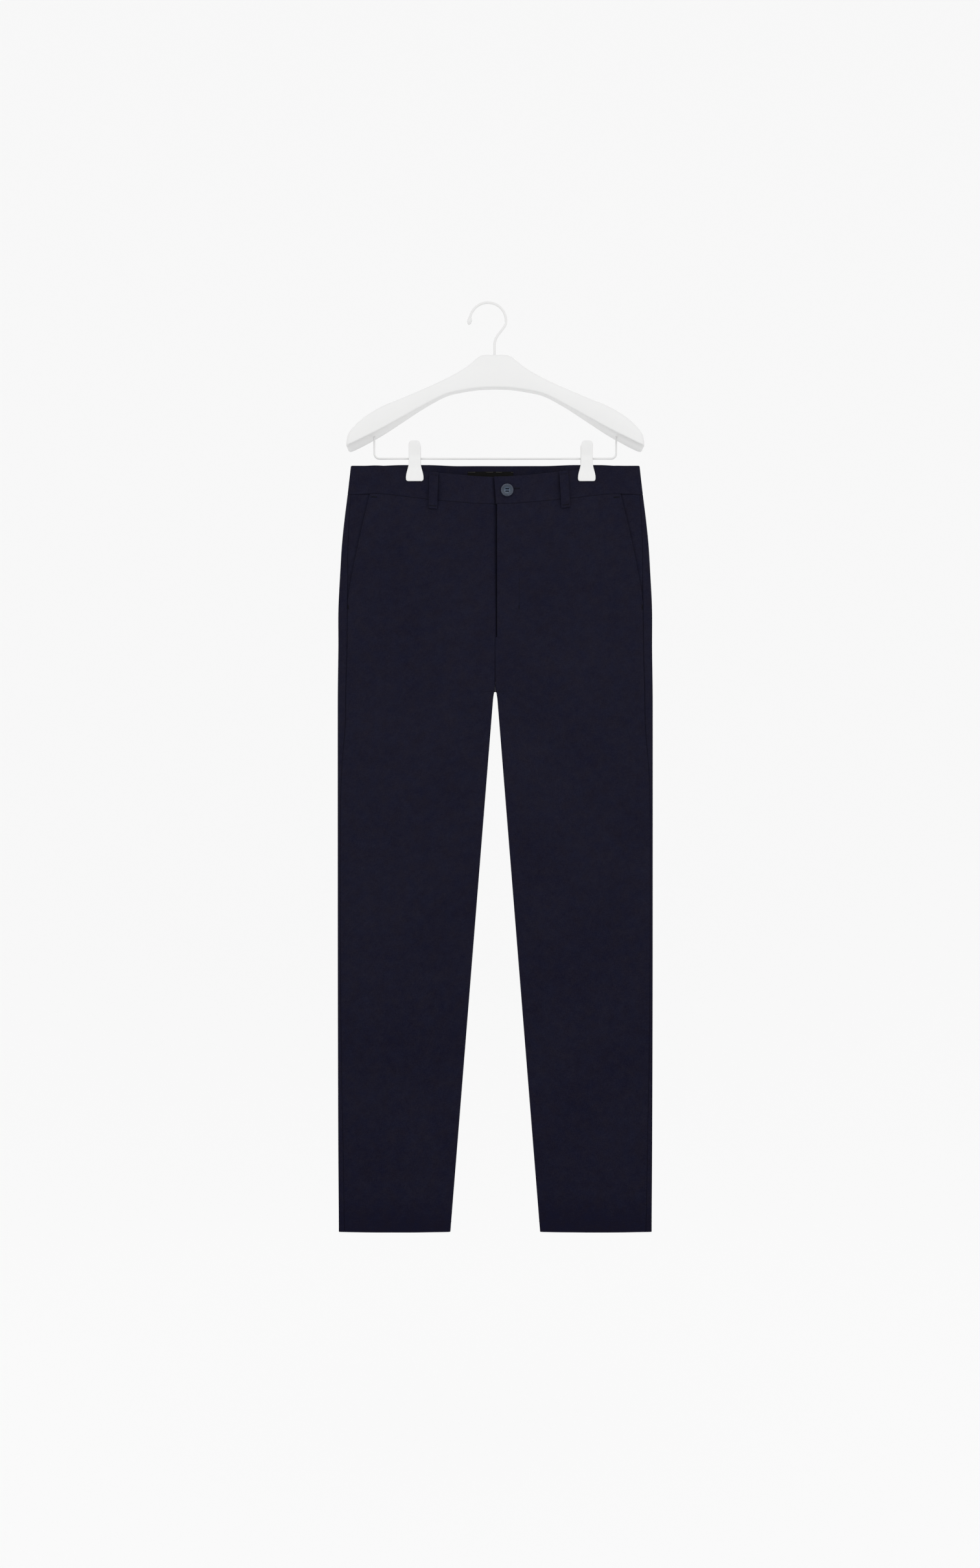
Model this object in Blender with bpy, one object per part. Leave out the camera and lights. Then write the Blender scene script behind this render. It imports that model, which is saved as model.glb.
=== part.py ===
"""Chino trousers held by the waistband in the clips of a trouser hanger.

Metres, +Z up. The front faces -Y and the wearer's left side lies at +X. The origin is the inner
crest of the hook, where the hanger rests on what holds it. Heights on the garment are given as
"down", the distance below the top edge of the waistband at the side seams.
"""
import math
from collections import namedtuple

import bmesh
import bpy

# Places
MIDDLE_X = 0.009         # middle of garment and hanger body, beside the crest of the hook
WAIST_Z = -0.2335        # top edge of the waistband at the side seams

# Cloth
CLOTH = 0.0014           # wall of a panel
BAND_WALL = 0.0022       # wall of the waistband, two layers and a stiffener
HEM_WALL = 0.0024        # wall where the hem is turned up
TRIM_WALL = 0.0012       # wall of zip tape and shield
GAP = 0.0003             # between pieces that meet
FOLD_RADIUS = 0.0032     # outside of the fold along a leg's edge
CROWN_REACH = 0.075      # distance over which the cloth rises from a fold to its full depth
DRAPE_MARGIN = 0.020     # strip along a panel's edge in which the soft folds die out

# Heights, down from the waist
BAND_HEIGHT = 0.0425
PANEL_TOP = BAND_HEIGHT + GAP
LOOP_END = 0.0590
LOOP_ROW = 0.0610
POCKET_END = 0.2070
FLY_END = 0.2524
CROTCH = 0.3295
KNEE = 0.6400
HEM = 1.1126
HEM_TURN = 0.0150

# Front opening
WAIST_DIP = 0.0200       # how far the front waist hangs below the back at the centre
DIP_HALF_WIDTH = 0.1800
DIP_ROUND = 0.8          # below 1, the dip is broader than a cosine
DIP_FADE = 0.2000        # down to where the dip has died out
LAP_HALF_WIDTH = 0.0500  # cloth that the overlap lifts or sinks, each side of the centre
LAP_RISE = 0.0008        # left side, which lies on top
LAP_SINK = BAND_WALL + GAP - LAP_RISE
LAP_FADE_FROM = 0.1000
UNDERLAP = 0.0380        # extension of the right waistband behind the left one
SHIELD_DEPTH = 0.0035    # shield below the front's plain surface
SHIELD_TAIL = 0.0100     # shield past the fly's end

BUTTON_X = 0.0172
BUTTON_DOWN = 0.0196
BUTTON_SEAT = 0.0006     # shank of thread behind the button
BUTTON_HOLE = 0.0009
BUTTON_HOLE_OFFSET = 0.0017
BUTTON_SIDES = 24

# Slant pockets
SLANT_TOP_X = 0.1814
SLANT_END_X = 0.2143
SLANT_CURVE = 1.25
FACING_FLUSH_WIDTH = 0.0120
FACING_TAIL = 0.0100

# Crotch and leg gap
CROTCH_REACH = 0.0700    # height over which the centre seams curve under
LEG_GAP_START = 0.0014
LEG_GAP_START_REACH = 0.0040
LEG_SPREAD = 0.0802      # half of the gap between the legs, per metre below the crotch

# Belt loops and label
FRONT_LOOPS = {"left": (0.0990, 0.1020), "right": (-0.0887, -0.0903)}   # top and bottom middle
BACK_LOOPS = {"left": (0.0880, 0.0880), "right": (-0.0880, -0.0880), "centre": (0.0, 0.0)}
LOOP_HALF_WIDTH = 0.0066
LOOP_WALL = 0.0016
LOOP_SEAT = 0.0005
LOOP_BOW = 0.0025        # how far a loop stands off halfway down
LABEL_ACROSS = (-0.0400, -0.0066, 0.0066, 0.0262)
LABEL_DOWN = (0.0085, 0.0225, 0.0360)
LABEL_WALL = 0.0010
LABEL_SEAT = 0.0004

# Columns of a panel
FRONT_COUNT = 8          # columns between the folds
BACK_COUNT = 9
NEAR_MARKS = {"front": (0.0140, 0.0300, 0.0520), "back": (0.0066, 0.0300, 0.0560)}
FAR_MARKS = {"left": (0.1660, 0.1900), "right": (0.1600, 0.1880)}
LOOP_MARGIN = 0.0012     # a loop's foot leans this much further out than its top

# Hanger
BODY_STATIONS = 13
TOP_ROUND = 0.0055
BOTTOM_ROUND = 0.0022
CLIP_X = {"right": -0.1166, "left": 0.1325}
CLIP_BOTTOM_Z = -0.2578
CLIP_WALL = 0.0022
CLIP_EASE = 0.0008       # eased outer edges of a jaw
PINCHED_DEPTH = 0.00235  # half of the waist's thickness in a clip
PINCH_FLAT = 0.0150
PINCH_REACH = 0.0650
PINCH_LEVEL_TO = 0.0280
PINCH_FADE_TO = 0.1050
BAR_Z = -0.2246
BAR_HALF_WIDTH = 0.1753
BAR_RADIUS = 0.0015
BAR_BEND = 0.0075
BAR_SOCKET = 0.6         # share of the way up from the bar to the body where its upright starts
HOOK_WIRE = 0.00185
HOOK_BEND = 0.0273
HOOK_MIDDLE_X = -0.0005
HOOK_TIP_ANGLE = 184
HOOK_TURN_END = -20
HOOK_TURN_STEPS = 16
HOOK_BALL = 0.0038
BALL_ROWS = (-0.92, -0.55, 0.0, 0.55, 0.86)   # shares of the ball's radius
HOOK_NECK_X = 0.0085
HOOK_NECK_Z = -0.0535
HOOK_SWING = 0.0120
HOOK_SWING_STEPS = 7
BARREL_RADIUS = 0.0033
BARREL_LENGTH = 0.0120
WIRE_SIDES = 8
BARREL_SIDES = 12
BEND_STEPS = 4
SHARP_ANGLE = 40         # degrees, from which an edge is shaded sharp

Section = namedtuple("Section", "down half_width front_depth back_depth seam_in")
SECTIONS = tuple(Section(*row) for row in (
    # down, half_width, front_depth, back_depth, seam_in (side seam, in from the outer fold)
    (0.0000, 0.2094, 0.0090, 0.0095, 0.0053),
    (0.0438, 0.2144, 0.0090, 0.0105, 0.0053),
    (0.0776, 0.2186, 0.0091, 0.0120, 0.0070),
    (0.1152, 0.2224, 0.0092, 0.0133, 0.0093),
    (0.1528, 0.2247, 0.0092, 0.0142, 0.0113),
    (0.2092, 0.2275, 0.0090, 0.0146, 0.0136),
    (0.2656, 0.2276, 0.0087, 0.0138, 0.0130),
    (0.3295, 0.2284, 0.0082, 0.0115, 0.0120),
    (0.3784, 0.2285, 0.0080, 0.0098, 0.0113),
    (0.4405, 0.2285, 0.0080, 0.0090, 0.0063),
    (0.5006, 0.2285, 0.0080, 0.0088, 0.0042),
    (0.7356, 0.2284, 0.0075, 0.0082, 0.0042),
    (0.8766, 0.2281, 0.0072, 0.0078, 0.0056),
    (1.0045, 0.2276, 0.0068, 0.0074, 0.0075),
    (1.1126, 0.2268, 0.0062, 0.0066, 0.0085),
))

Fold = namedtuple("Fold", "face across down reach_across reach_down height lean")
FOLDS = tuple(Fold(*row) for row in (
    # face, across, down, reach_across, reach_down, height, lean (across per metre down)
    ("front", -0.120, 0.480, 0.055, 0.150, 0.0010, 0.05),
    ("front", 0.128, 0.560, 0.050, 0.170, 0.0011, -0.04),
    ("front", -0.140, 0.860, 0.050, 0.160, 0.0009, 0.03),
    ("front", 0.150, 0.930, 0.045, 0.130, 0.0010, -0.02),
    ("back", -0.105, 0.345, 0.060, 0.060, -0.0022, 0.25),
    ("back", 0.112, 0.350, 0.058, 0.065, -0.0025, -0.22),
    ("back", -0.130, 0.610, 0.050, 0.160, 0.0012, 0.04),
    ("back", 0.125, 0.570, 0.055, 0.150, 0.0010, -0.05),
    ("back", -0.145, 0.900, 0.045, 0.140, 0.0010, 0.02),
    ("back", 0.150, 0.850, 0.050, 0.160, 0.0011, -0.03),
))

Shoulder = namedtuple("Shoulder", "across top bottom thick")
SHOULDERS = tuple(Shoulder(*row) for row in (
    # across, top, bottom, thick
    (0.0000, -0.0771, -0.1230, 0.0200),
    (0.0225, -0.0776, -0.1240, 0.0205),
    (0.0423, -0.0962, -0.1265, 0.0220),
    (0.0705, -0.1123, -0.1329, 0.0250),
    (0.1034, -0.1271, -0.1495, 0.0300),
    (0.1363, -0.1414, -0.1690, 0.0360),
    (0.1645, -0.1543, -0.1851, 0.0420),
    (0.1880, -0.1697, -0.1976, 0.0470),
    (0.2049, -0.1863, -0.2070, 0.0500),
    (0.2120, -0.1965, -0.2100, 0.0480),
    (0.2142, -0.2045, -0.2100, 0.0400),
))

JawRow = namedtuple("JawRow", "height half_width inside")
JAW_ROWS = tuple(JawRow(*row) for row in (
    # height above the clip's lower edge, half_width, inside (face towards the cloth)
    (0.0000, 0.0106, 0.00265),
    (0.0016, 0.0124, 0.00265),
    (0.0080, 0.0124, 0.00265),
    (0.0190, 0.0090, 0.00265),
    (0.0300, 0.0084, 0.00360),
    (0.0370, 0.0084, 0.00360),
    (0.0510, 0.0082, 0.00780),
    (0.0558, 0.0062, 0.00900),
    (0.0572, 0.0034, 0.00930),
))

ButtonRow = namedtuple("ButtonRow", "radius height")
BUTTON_PROFILE = tuple(ButtonRow(*row) for row in (
    # radius, height above the back
    (0.0086, 0.0000),
    (0.0093, 0.0008),
    (0.0093, 0.0020),
    (0.0085, 0.0028),
    (0.0072, 0.0027),
    (0.0058, 0.0019),
))

SIDES = {"left": 1, "right": -1}

Finish = namedtuple("Finish", "colour roughness")
NAVY_CLOTH = Finish((0.018, 0.018, 0.034), 0.90)
ZIP_TAPE = Finish((0.012, 0.012, 0.024), 0.85)
LABEL_BLACK = Finish((0.010, 0.010, 0.011), 0.60)
SLATE = Finish((0.060, 0.078, 0.110), 0.35)
WHITE_LACQUER = Finish((0.820, 0.820, 0.815), 0.40)
WHITE_PLASTIC = Finish((0.840, 0.840, 0.835), 0.30)
WHITE_WIRE = Finish((0.830, 0.830, 0.825), 0.35)


# ---------------------------------------------------------------- small helpers

def smooth(t):
    """0 to 1 with level ends."""
    t = min(1.0, max(0.0, t))
    return t * t * (3.0 - 2.0 * t)


def mix(a, b, share):
    return a + (b - a) * share


def eased(table, key):
    """A row of a table at any key, on smooth curves through the table's rows."""
    last = len(table) - 2
    i = min(last, max(k for k in range(last + 1) if table[k][0] <= key or k == 0))
    before, low, high, after = (table[max(0, min(last + 1, i + k))] for k in (-1, 0, 1, 2))
    span = high[0] - low[0]
    t = min(1.0, max(0.0, (key - low[0]) / span))
    values = [key]
    for a, b, c, d in zip(before[1:], low[1:], high[1:], after[1:]):
        slope_low = (c - a) / (high[0] - before[0]) * span
        slope_high = (d - b) / (after[0] - low[0]) * span
        value = (2 * t**3 - 3 * t**2 + 1) * b + (t**3 - 2 * t**2 + t) * slope_low
        values.append(value + (3 * t**2 - 2 * t**3) * c + (t**3 - t**2) * slope_high)
    return type(table[0])(*values)


def steps(start, end, count):
    """Equal steps from start up to, but without, end."""
    return [mix(start, end, k / count) for k in range(count)]


# ---------------------------------------------------------------- form of the garment

def leg_gap(down):
    """Half of the space between the legs."""
    below = max(0.0, down - CROTCH)
    return GAP / 2 + LEG_GAP_START * min(1.0, below / LEG_GAP_START_REACH) + LEG_SPREAD * below


def joined(down):
    """1 where left and right meet in the centre seam, 0 from the crotch down."""
    t = min(1.0, max(0.0, (CROTCH - down) / CROTCH_REACH))
    return math.sqrt(1.0 - (1.0 - t) ** 2)


def arc(distance, radius):
    """Height of a quarter round above its edge."""
    inside = min(1.0, max(0.0, distance / radius))
    return radius * math.sqrt(1.0 - (1.0 - inside) ** 2)


def crown(distance):
    return math.sin(math.pi / 2 * min(1.0, max(0.0, distance / CROWN_REACH)))


def pinch(x, down):
    """1 in the clips, 0 where the cloth hangs free of them."""
    level = 1.0 - smooth((down - PINCH_LEVEL_TO) / (PINCH_FADE_TO - PINCH_LEVEL_TO))
    across = [(abs(x - clip_x) - PINCH_FLAT) / (PINCH_REACH - PINCH_FLAT) for clip_x in CLIP_X.values()]
    return level * (1.0 - smooth(min(across)))


def drape(face, x, down, edge):
    """Soft folds of the hanging cloth, which die out towards its edges."""
    total = 0.0
    for fold in FOLDS:
        if fold.face == face:
            along = (down - fold.down) / fold.reach_down
            across = (x - fold.across - fold.lean * (down - fold.down)) / fold.reach_across
            total += fold.height * smooth(1.0 - math.hypot(along, across))
    return total * smooth(edge / DRAPE_MARGIN)


def plain_depth(face, x, down, inset=0.0):
    """Distance of the wall's surface from the garment's middle plane.

    The surface lies inset inside the outer one: quarter rounds at the folds, then a low crown.
    """
    section = eased(SECTIONS, down)
    together = joined(down)
    radius = FOLD_RADIUS - inset
    from_outer = section.half_width - inset - abs(x)
    from_inner = abs(x) - leg_gap(down) - inset * (1.0 - together)
    full = section.front_depth if face == "front" else section.back_depth
    rounded = min(arc(from_outer, radius), mix(arc(from_inner, radius), radius, together))
    swell = crown(from_outer) * mix(crown(from_inner), 1.0, together)
    depth = rounded + (full - FOLD_RADIUS) * swell
    edge = min(from_outer, mix(from_inner, section.half_width, together))
    depth += drape(face, x, down, edge)
    return mix(depth, PINCHED_DEPTH - inset, pinch(x, down))


def lap(x, down):
    """How far the front opening's overlap lifts the left side and sinks the right one."""
    level = 1.0 - smooth((down - LAP_FADE_FROM) / (FLY_END - LAP_FADE_FROM))
    near = level * (1.0 - smooth(abs(x) / LAP_HALF_WIDTH))
    return near * (LAP_RISE if x > 0.0 else -LAP_SINK)


def dip(x, down):
    """How far the front hangs below the back."""
    across = 0.5 + 0.5 * math.cos(math.pi * min(1.0, abs(x) / DIP_HALF_WIDTH))
    fade = 0.5 + 0.5 * math.cos(math.pi * min(1.0, down / DIP_FADE))
    return WAIST_DIP * across**DIP_ROUND * fade


def place(face, x, depth, down):
    """Point of the front or back at a depth from the middle plane."""
    if face == "front":
        return (MIDDLE_X + x, -depth, WAIST_Z - down - dip(x, down))
    return (MIDDLE_X + x, depth, WAIST_Z - down)


def skin(face, x, down, inset=0.0):
    """Point on the garment's surface, or inset inside it."""
    depth = plain_depth(face, x, down, inset)
    if face == "front":
        depth += lap(x, down)
    if abs(x) < eased(SECTIONS, down).half_width / 2:
        depth = max(depth, GAP / 2)
    return place(face, x, depth, down)


def slant(down):
    """Edge of the pocket mouth."""
    t = min(1.0, max(0.0, (down - PANEL_TOP) / (POCKET_END - PANEL_TOP)))
    return mix(SLANT_TOP_X, SLANT_END_X, 1.0 - (1.0 - t) ** SLANT_CURVE)


def side_seam(down):
    section = eased(SECTIONS, down)
    return section.half_width - section.seam_in


def front_edge(down):
    """Outer edge of the front panel: the pocket mouth, then the side seam."""
    seam = side_seam(down) - GAP / 2
    return seam if down >= POCKET_END else min(seam, slant(down))


# ---------------------------------------------------------------- columns of a panel

Column = namedtuple("Column", "face kind value")   # kind: inner_arc, flat or outer_arc
QUARTER = (0.0, math.pi / 4, math.pi / 2)


def column_x(column, down, inset):
    """Distance of a column from the garment's middle."""
    round_in = (FOLD_RADIUS - inset) * (1.0 - math.cos(column.value))
    if column.kind == "inner_arc":
        return leg_gap(down) + inset * (1.0 - joined(down)) + round_in
    if column.kind == "outer_arc":
        return eased(SECTIONS, down).half_width - inset - round_in
    return column.value


def marks(face, side, count):
    """Places across the waist where columns have to lie: lap, loops and clips."""
    loop = FRONT_LOOPS[side][0] if face == "front" else BACK_LOOPS[side][0]
    clip = abs(CLIP_X[side])
    loop_edges = (abs(loop) - LOOP_HALF_WIDTH, abs(loop) + LOOP_HALF_WIDTH + LOOP_MARGIN)
    clip_edges = (clip - PINCH_FLAT, clip + PINCH_FLAT)
    return (NEAR_MARKS[face] + loop_edges + clip_edges + FAR_MARKS[side])[:count]


def flat_columns(face, side, down, edge, count):
    """Columns between the folds: at the marks near the waist, evenly spaced on the legs."""
    start = leg_gap(down) + FOLD_RADIUS
    even = smooth((down - LOOP_ROW) / (CROTCH - LOOP_ROW))
    spaced = [mix(start, edge, (k + 1) / (count + 1)) for k in range(count)]
    return [Column(face, "flat", mix(m, s, even)) for m, s in zip(marks(face, side, count), spaced)]


def front_columns(side, down):
    inner = [Column("front", "inner_arc", angle) for angle in QUARTER]
    edge = front_edge(down)
    flat = flat_columns("front", side, down, edge, FRONT_COUNT)
    return inner + flat + [Column("front", "flat", edge)]


def back_columns(side, down):
    inner = [Column("back", "inner_arc", angle) for angle in QUARTER]
    edge = eased(SECTIONS, down).half_width - FOLD_RADIUS
    flat = flat_columns("back", side, down, edge, BACK_COUNT)
    fold = [Column("back", "outer_arc", angle) for angle in reversed(QUARTER)]
    fold += [Column("front", "outer_arc", angle) for angle in QUARTER[1:]]
    return inner + flat + fold + [Column("front", "flat", side_seam(down) + GAP / 2)]


def band_columns(side, down):
    """Round the waist from the centre back to the centre front."""
    edge = eased(SECTIONS, down).half_width - FOLD_RADIUS
    back = [Column("back", "flat", GAP / 2)] + flat_columns("back", side, down, edge, BACK_COUNT)
    fold = [Column("back", "outer_arc", angle) for angle in reversed(QUARTER)]
    fold += [Column("front", "outer_arc", angle) for angle in QUARTER[1:]]
    front = flat_columns("front", side, down, edge, BACK_COUNT)[::-1]
    return back + fold + front + [Column("front", "flat", GAP / 2)]


def wall_grids(columns_at, side, downs, wall_at):
    """Outer and inner points of a wall, a row for each height."""
    sign = SIDES[side]
    outer = []
    inner = []
    for down in downs:
        columns = columns_at(side, down)
        for grid, inset in ((outer, 0.0), (inner, wall_at(down))):
            grid.append([skin(c.face, sign * column_x(c, down, inset), down, inset) for c in columns])
    return outer, inner


# ---------------------------------------------------------------- meshes

def add_object(name, bm, finish):
    bmesh.ops.recalc_face_normals(bm, faces=bm.faces[:])
    mesh = bpy.data.meshes.new(name)
    bm.to_mesh(mesh)
    bm.free()
    mesh.shade_smooth()
    mesh.set_sharp_from_angle(angle=math.radians(SHARP_ANGLE))
    material = bpy.data.materials.new(name)
    material.use_nodes = True
    shader = material.node_tree.nodes["Principled BSDF"]
    shader.inputs["Base Color"].default_value = (*finish.colour, 1.0)
    shader.inputs["Roughness"].default_value = finish.roughness
    mesh.materials.append(material)
    obj = bpy.data.objects.new(name, mesh)
    bpy.context.scene.collection.objects.link(obj)
    return obj


def rim_of(grid):
    """The border of a grid of vertices, once round."""
    right = [row[-1] for row in grid[1:-1]]
    left = [row[0] for row in grid[1:-1]]
    return grid[0] + right + grid[-1][::-1] + left[::-1]


def add_wall(name, outer, inner, finish):
    """Closed wall between two grids of points with the same rows and columns."""
    bm = bmesh.new()
    skins = [[[bm.verts.new(point) for point in row] for row in grid] for grid in (outer, inner)]
    for grid in skins:
        for upper, lower in zip(grid, grid[1:]):
            for a, b, c, d in zip(upper, upper[1:], lower[1:], lower):
                bm.faces.new((a, b, c, d))
    out_rim, in_rim = rim_of(skins[0]), rim_of(skins[1])
    count = len(out_rim)
    for k in range(count):
        after = (k + 1) % count
        bm.faces.new((out_rim[k], out_rim[after], in_rim[after], in_rim[k]))
    return add_object(name, bm, finish)


def add_loft(name, rings, finish):
    """Closed body through rings of points, with flat ends."""
    bm = bmesh.new()
    loops = [[bm.verts.new(point) for point in ring] for ring in rings]
    for first, second in zip(loops, loops[1:]):
        for k in range(len(first)):
            after = (k + 1) % len(first)
            bm.faces.new((first[k], first[after], second[after], second[k]))
    bm.faces.new(loops[0])
    bm.faces.new(loops[-1])
    return add_object(name, bm, finish)


# ---------------------------------------------------------------- panels

def panel_rows():
    """Heights of a panel's rows, with one at each place that other pieces meet."""
    rows = [PANEL_TOP] + steps(LOOP_ROW, POCKET_END, 6) + steps(POCKET_END, FLY_END, 2)
    rows += steps(FLY_END, CROTCH, 4) + [CROTCH, CROTCH + LEG_GAP_START_REACH]
    rows += steps(CROTCH + 0.030, KNEE, 5) + steps(KNEE, HEM - HEM_TURN - GAP, 6)
    return rows + [HEM - HEM_TURN - GAP, HEM - HEM_TURN, HEM]


def panel_wall(down):
    return HEM_WALL if down >= HEM - HEM_TURN else CLOTH


def make_panels():
    for side in SIDES:
        for face, columns_at in (("front", front_columns), ("back", back_columns)):
            outer, inner = wall_grids(columns_at, side, panel_rows(), panel_wall)
            add_wall(f"{face}_{side}", outer, inner, NAVY_CLOTH)


def band_rows():
    return steps(0.0, BAND_HEIGHT, 3) + [BAND_HEIGHT]


def band_wall(_down):
    return BAND_WALL


def underlap_points(down, inset):
    """The right waistband's extension behind the left one, from its end to the centre."""
    points = []
    for x in (GAP / 2, *marks("front", "left", 2), UNDERLAP):
        depth = plain_depth("front", x, down) + lap(x, down)
        points.append(place("front", x, depth - BAND_WALL - GAP - inset, down))
    return points


def make_waistband():
    for side in SIDES:
        outer, inner = wall_grids(band_columns, side, band_rows(), band_wall)
        if side == "right":
            for grid, inset in ((outer, 0.0), (inner, BAND_WALL)):
                for row, down in zip(grid, band_rows()):
                    row[-1:] = underlap_points(down, inset)
        add_wall(f"waistband_{side}", outer, inner, NAVY_CLOTH)


# ---------------------------------------------------------------- pockets and fly

def facing_row(side, down):
    """Outer and inner points of a pocket facing: behind the front, then up to the side seam."""
    hidden, mouth = front_columns(side, down)[-2:]
    seam = side_seam(down) - GAP / 2
    flush = smooth((seam - mouth.value) / FACING_FLUSH_WIDTH)
    behind = CLOTH + GAP
    outer = []
    inner = []
    for x, back_off in ((hidden.value, behind), (mouth.value, behind), (seam, behind * (1.0 - flush))):
        x = x * SIDES[side]
        depth = plain_depth("front", x, down) + lap(x, down) - back_off
        outer.append(place("front", x, depth, down))
        inner.append(place("front", x, depth - CLOTH, down))
    return outer, inner


def make_pocket_facings():
    rows = [down for down in panel_rows() if down <= POCKET_END] + [POCKET_END + FACING_TAIL]
    for side in SIDES:
        pairs = [facing_row(side, down) for down in rows]
        outer, inner = zip(*pairs)
        add_wall(f"pocket_facing_{side}", outer, inner, NAVY_CLOTH)


def zip_depth(x, down):
    return plain_depth("front", x, down) + lap(x, down) - CLOTH - GAP


def shield_depth(x, down):
    return plain_depth("front", x, down) - SHIELD_DEPTH


def make_fly():
    """The zip hangs behind the left front, and the shield behind both."""
    rows = [down for down in panel_rows() if down <= FLY_END]
    near = (FOLD_RADIUS + GAP / 2, *marks("front", "left", 2))
    shield_rows = rows + [FLY_END + SHIELD_TAIL]
    pieces = (
        ("fly_zip", rows, near, zip_depth, ZIP_TAPE),
        ("fly_shield", shield_rows, (-near[1], -near[0], *near), shield_depth, NAVY_CLOTH),
    )
    for name, downs, across, depth_at, finish in pieces:
        outer = [[place("front", x, depth_at(x, d), d) for x in across] for d in downs]
        inner = [[place("front", x, depth_at(x, d) - TRIM_WALL, d) for x in across] for d in downs]
        add_wall(name, outer, inner, finish)


# ---------------------------------------------------------------- loops, button and label

def loop_rows():
    return band_rows() + [LOOP_END]


def make_belt_loop(name, face, middles):
    """A strip tacked down at both ends that stands off the waist between them."""
    outer = []
    inner = []
    for down in loop_rows():
        share = down / LOOP_END
        middle = mix(middles[0], middles[1], share)
        lift = LOOP_SEAT + LOOP_BOW * math.sin(math.pi * share)
        row = []
        for x in (middle - LOOP_HALF_WIDTH, middle + LOOP_HALF_WIDTH):
            depth = plain_depth(face, x, down) + (lap(x, down) if face == "front" else 0.0)
            row.append((x, depth + lift))
        outer.append([place(face, x, depth + LOOP_WALL, down) for x, depth in row])
        inner.append([place(face, x, depth, down) for x, depth in row])
    add_wall(name, outer, inner, NAVY_CLOTH)


def make_belt_loops():
    for side, middles in FRONT_LOOPS.items():
        make_belt_loop(f"belt_loop_front_{side}", "front", middles)
    for side, middles in BACK_LOOPS.items():
        make_belt_loop(f"belt_loop_back_{side}", "back", middles)


def ring(centre, radius, y, count):
    """Points round an axis along Y."""
    turns = [2 * math.pi * k / count for k in range(count)]
    return [(centre[0] + radius * math.cos(a), y, centre[2] + radius * math.sin(a)) for a in turns]


def make_button():
    """Turned disc with a raised rim and four holes."""
    seat = skin("front", BUTTON_X, BUTTON_DOWN)
    back = seat[1] - BUTTON_SEAT
    thick = max(row.height for row in BUTTON_PROFILE)
    rings = [ring(seat, row.radius, back - row.height, BUTTON_SIDES) for row in BUTTON_PROFILE]
    button = add_loft("button", rings, SLATE)
    for across in (-BUTTON_HOLE_OFFSET, BUTTON_HOLE_OFFSET):
        for up in (-BUTTON_HOLE_OFFSET, BUTTON_HOLE_OFFSET):
            centre = (seat[0] + across, 0.0, seat[2] + up)
            ends = [ring(centre, BUTTON_HOLE, y, WIRE_SIDES) for y in (back + thick, back - 2 * thick)]
            cutter = add_loft("button_hole_cutter", ends, SLATE)
            cutter.hide_render = True
            cutter.display_type = "WIRE"
            cut = button.modifiers.new("hole", "BOOLEAN")
            cut.operation = "DIFFERENCE"
            cut.object = cutter


def label_layer(off):
    """Points of the label at a distance from the inside of the back waistband."""
    rows = []
    for down in LABEL_DOWN:
        inside = {x: plain_depth("back", x, down) - BAND_WALL for x in LABEL_ACROSS}
        rows.append([place("back", x, inside[x] - off, down) for x in LABEL_ACROSS])
    return rows


def make_label():
    """Bare label on the inside of the back waistband."""
    add_wall("label", label_layer(LABEL_SEAT), label_layer(LABEL_SEAT + LABEL_WALL), LABEL_BLACK)


# ---------------------------------------------------------------- hanger

def shoulder_ring(x):
    """Rounded section of the hanger body at one distance from its middle."""
    row = eased(SHOULDERS, abs(x))
    height = row.top - row.bottom
    half = row.thick / 2
    corners = ((row.top, 1, -1), (row.bottom, 1, 1), (row.bottom, -1, 1), (row.top, -1, -1))
    points = []
    for z, y_sign, z_sign in corners:
        radius = min(TOP_ROUND if z_sign < 0 else BOTTOM_ROUND, height / 2.5)
        corner = [(half - radius * (1 - math.sin(a)), radius * (1 - math.cos(a))) for a in QUARTER]
        corner = corner if y_sign * z_sign < 0 else corner[::-1]
        points += [(MIDDLE_X + x, y_sign * y, z + z_sign * up) for y, up in corner]
    return points


def make_hanger_body():
    reach = SHOULDERS[-1].across
    half = [reach * math.sin(math.pi / 2 * k / BODY_STATIONS) for k in range(BODY_STATIONS + 1)]
    across = [-x for x in reversed(half[1:])] + half
    add_loft("hanger_body", [shoulder_ring(x) for x in across], WHITE_LACQUER)


def wire_rings(path, radii):
    """Rings square to a path in the XZ plane, one at each of its points."""
    rings = []
    for k, (x, z) in enumerate(path):
        ahead = path[min(k + 1, len(path) - 1)]
        behind = path[max(k - 1, 0)]
        length = math.hypot(ahead[0] - behind[0], ahead[1] - behind[1])
        normal = ((behind[1] - ahead[1]) / length, (ahead[0] - behind[0]) / length)
        turns = [2 * math.pi * (j + 0.5) / WIRE_SIDES for j in range(WIRE_SIDES)]
        offsets = [(radii[k] * math.cos(a), radii[k] * math.sin(a)) for a in turns]
        rings.append([(x + out * normal[0], y, z + out * normal[1]) for out, y in offsets])
    return rings


def bezier(p0, p1, p2, p3, count):
    points = []
    for k in range(1, count + 1):
        t = k / count
        weights = ((1 - t) ** 3, 3 * t * (1 - t) ** 2, 3 * t * t * (1 - t), t**3)
        x, z = (sum(w * p[axis] for w, p in zip(weights, (p0, p1, p2, p3))) for axis in (0, 1))
        points.append((x, z))
    return points


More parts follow.
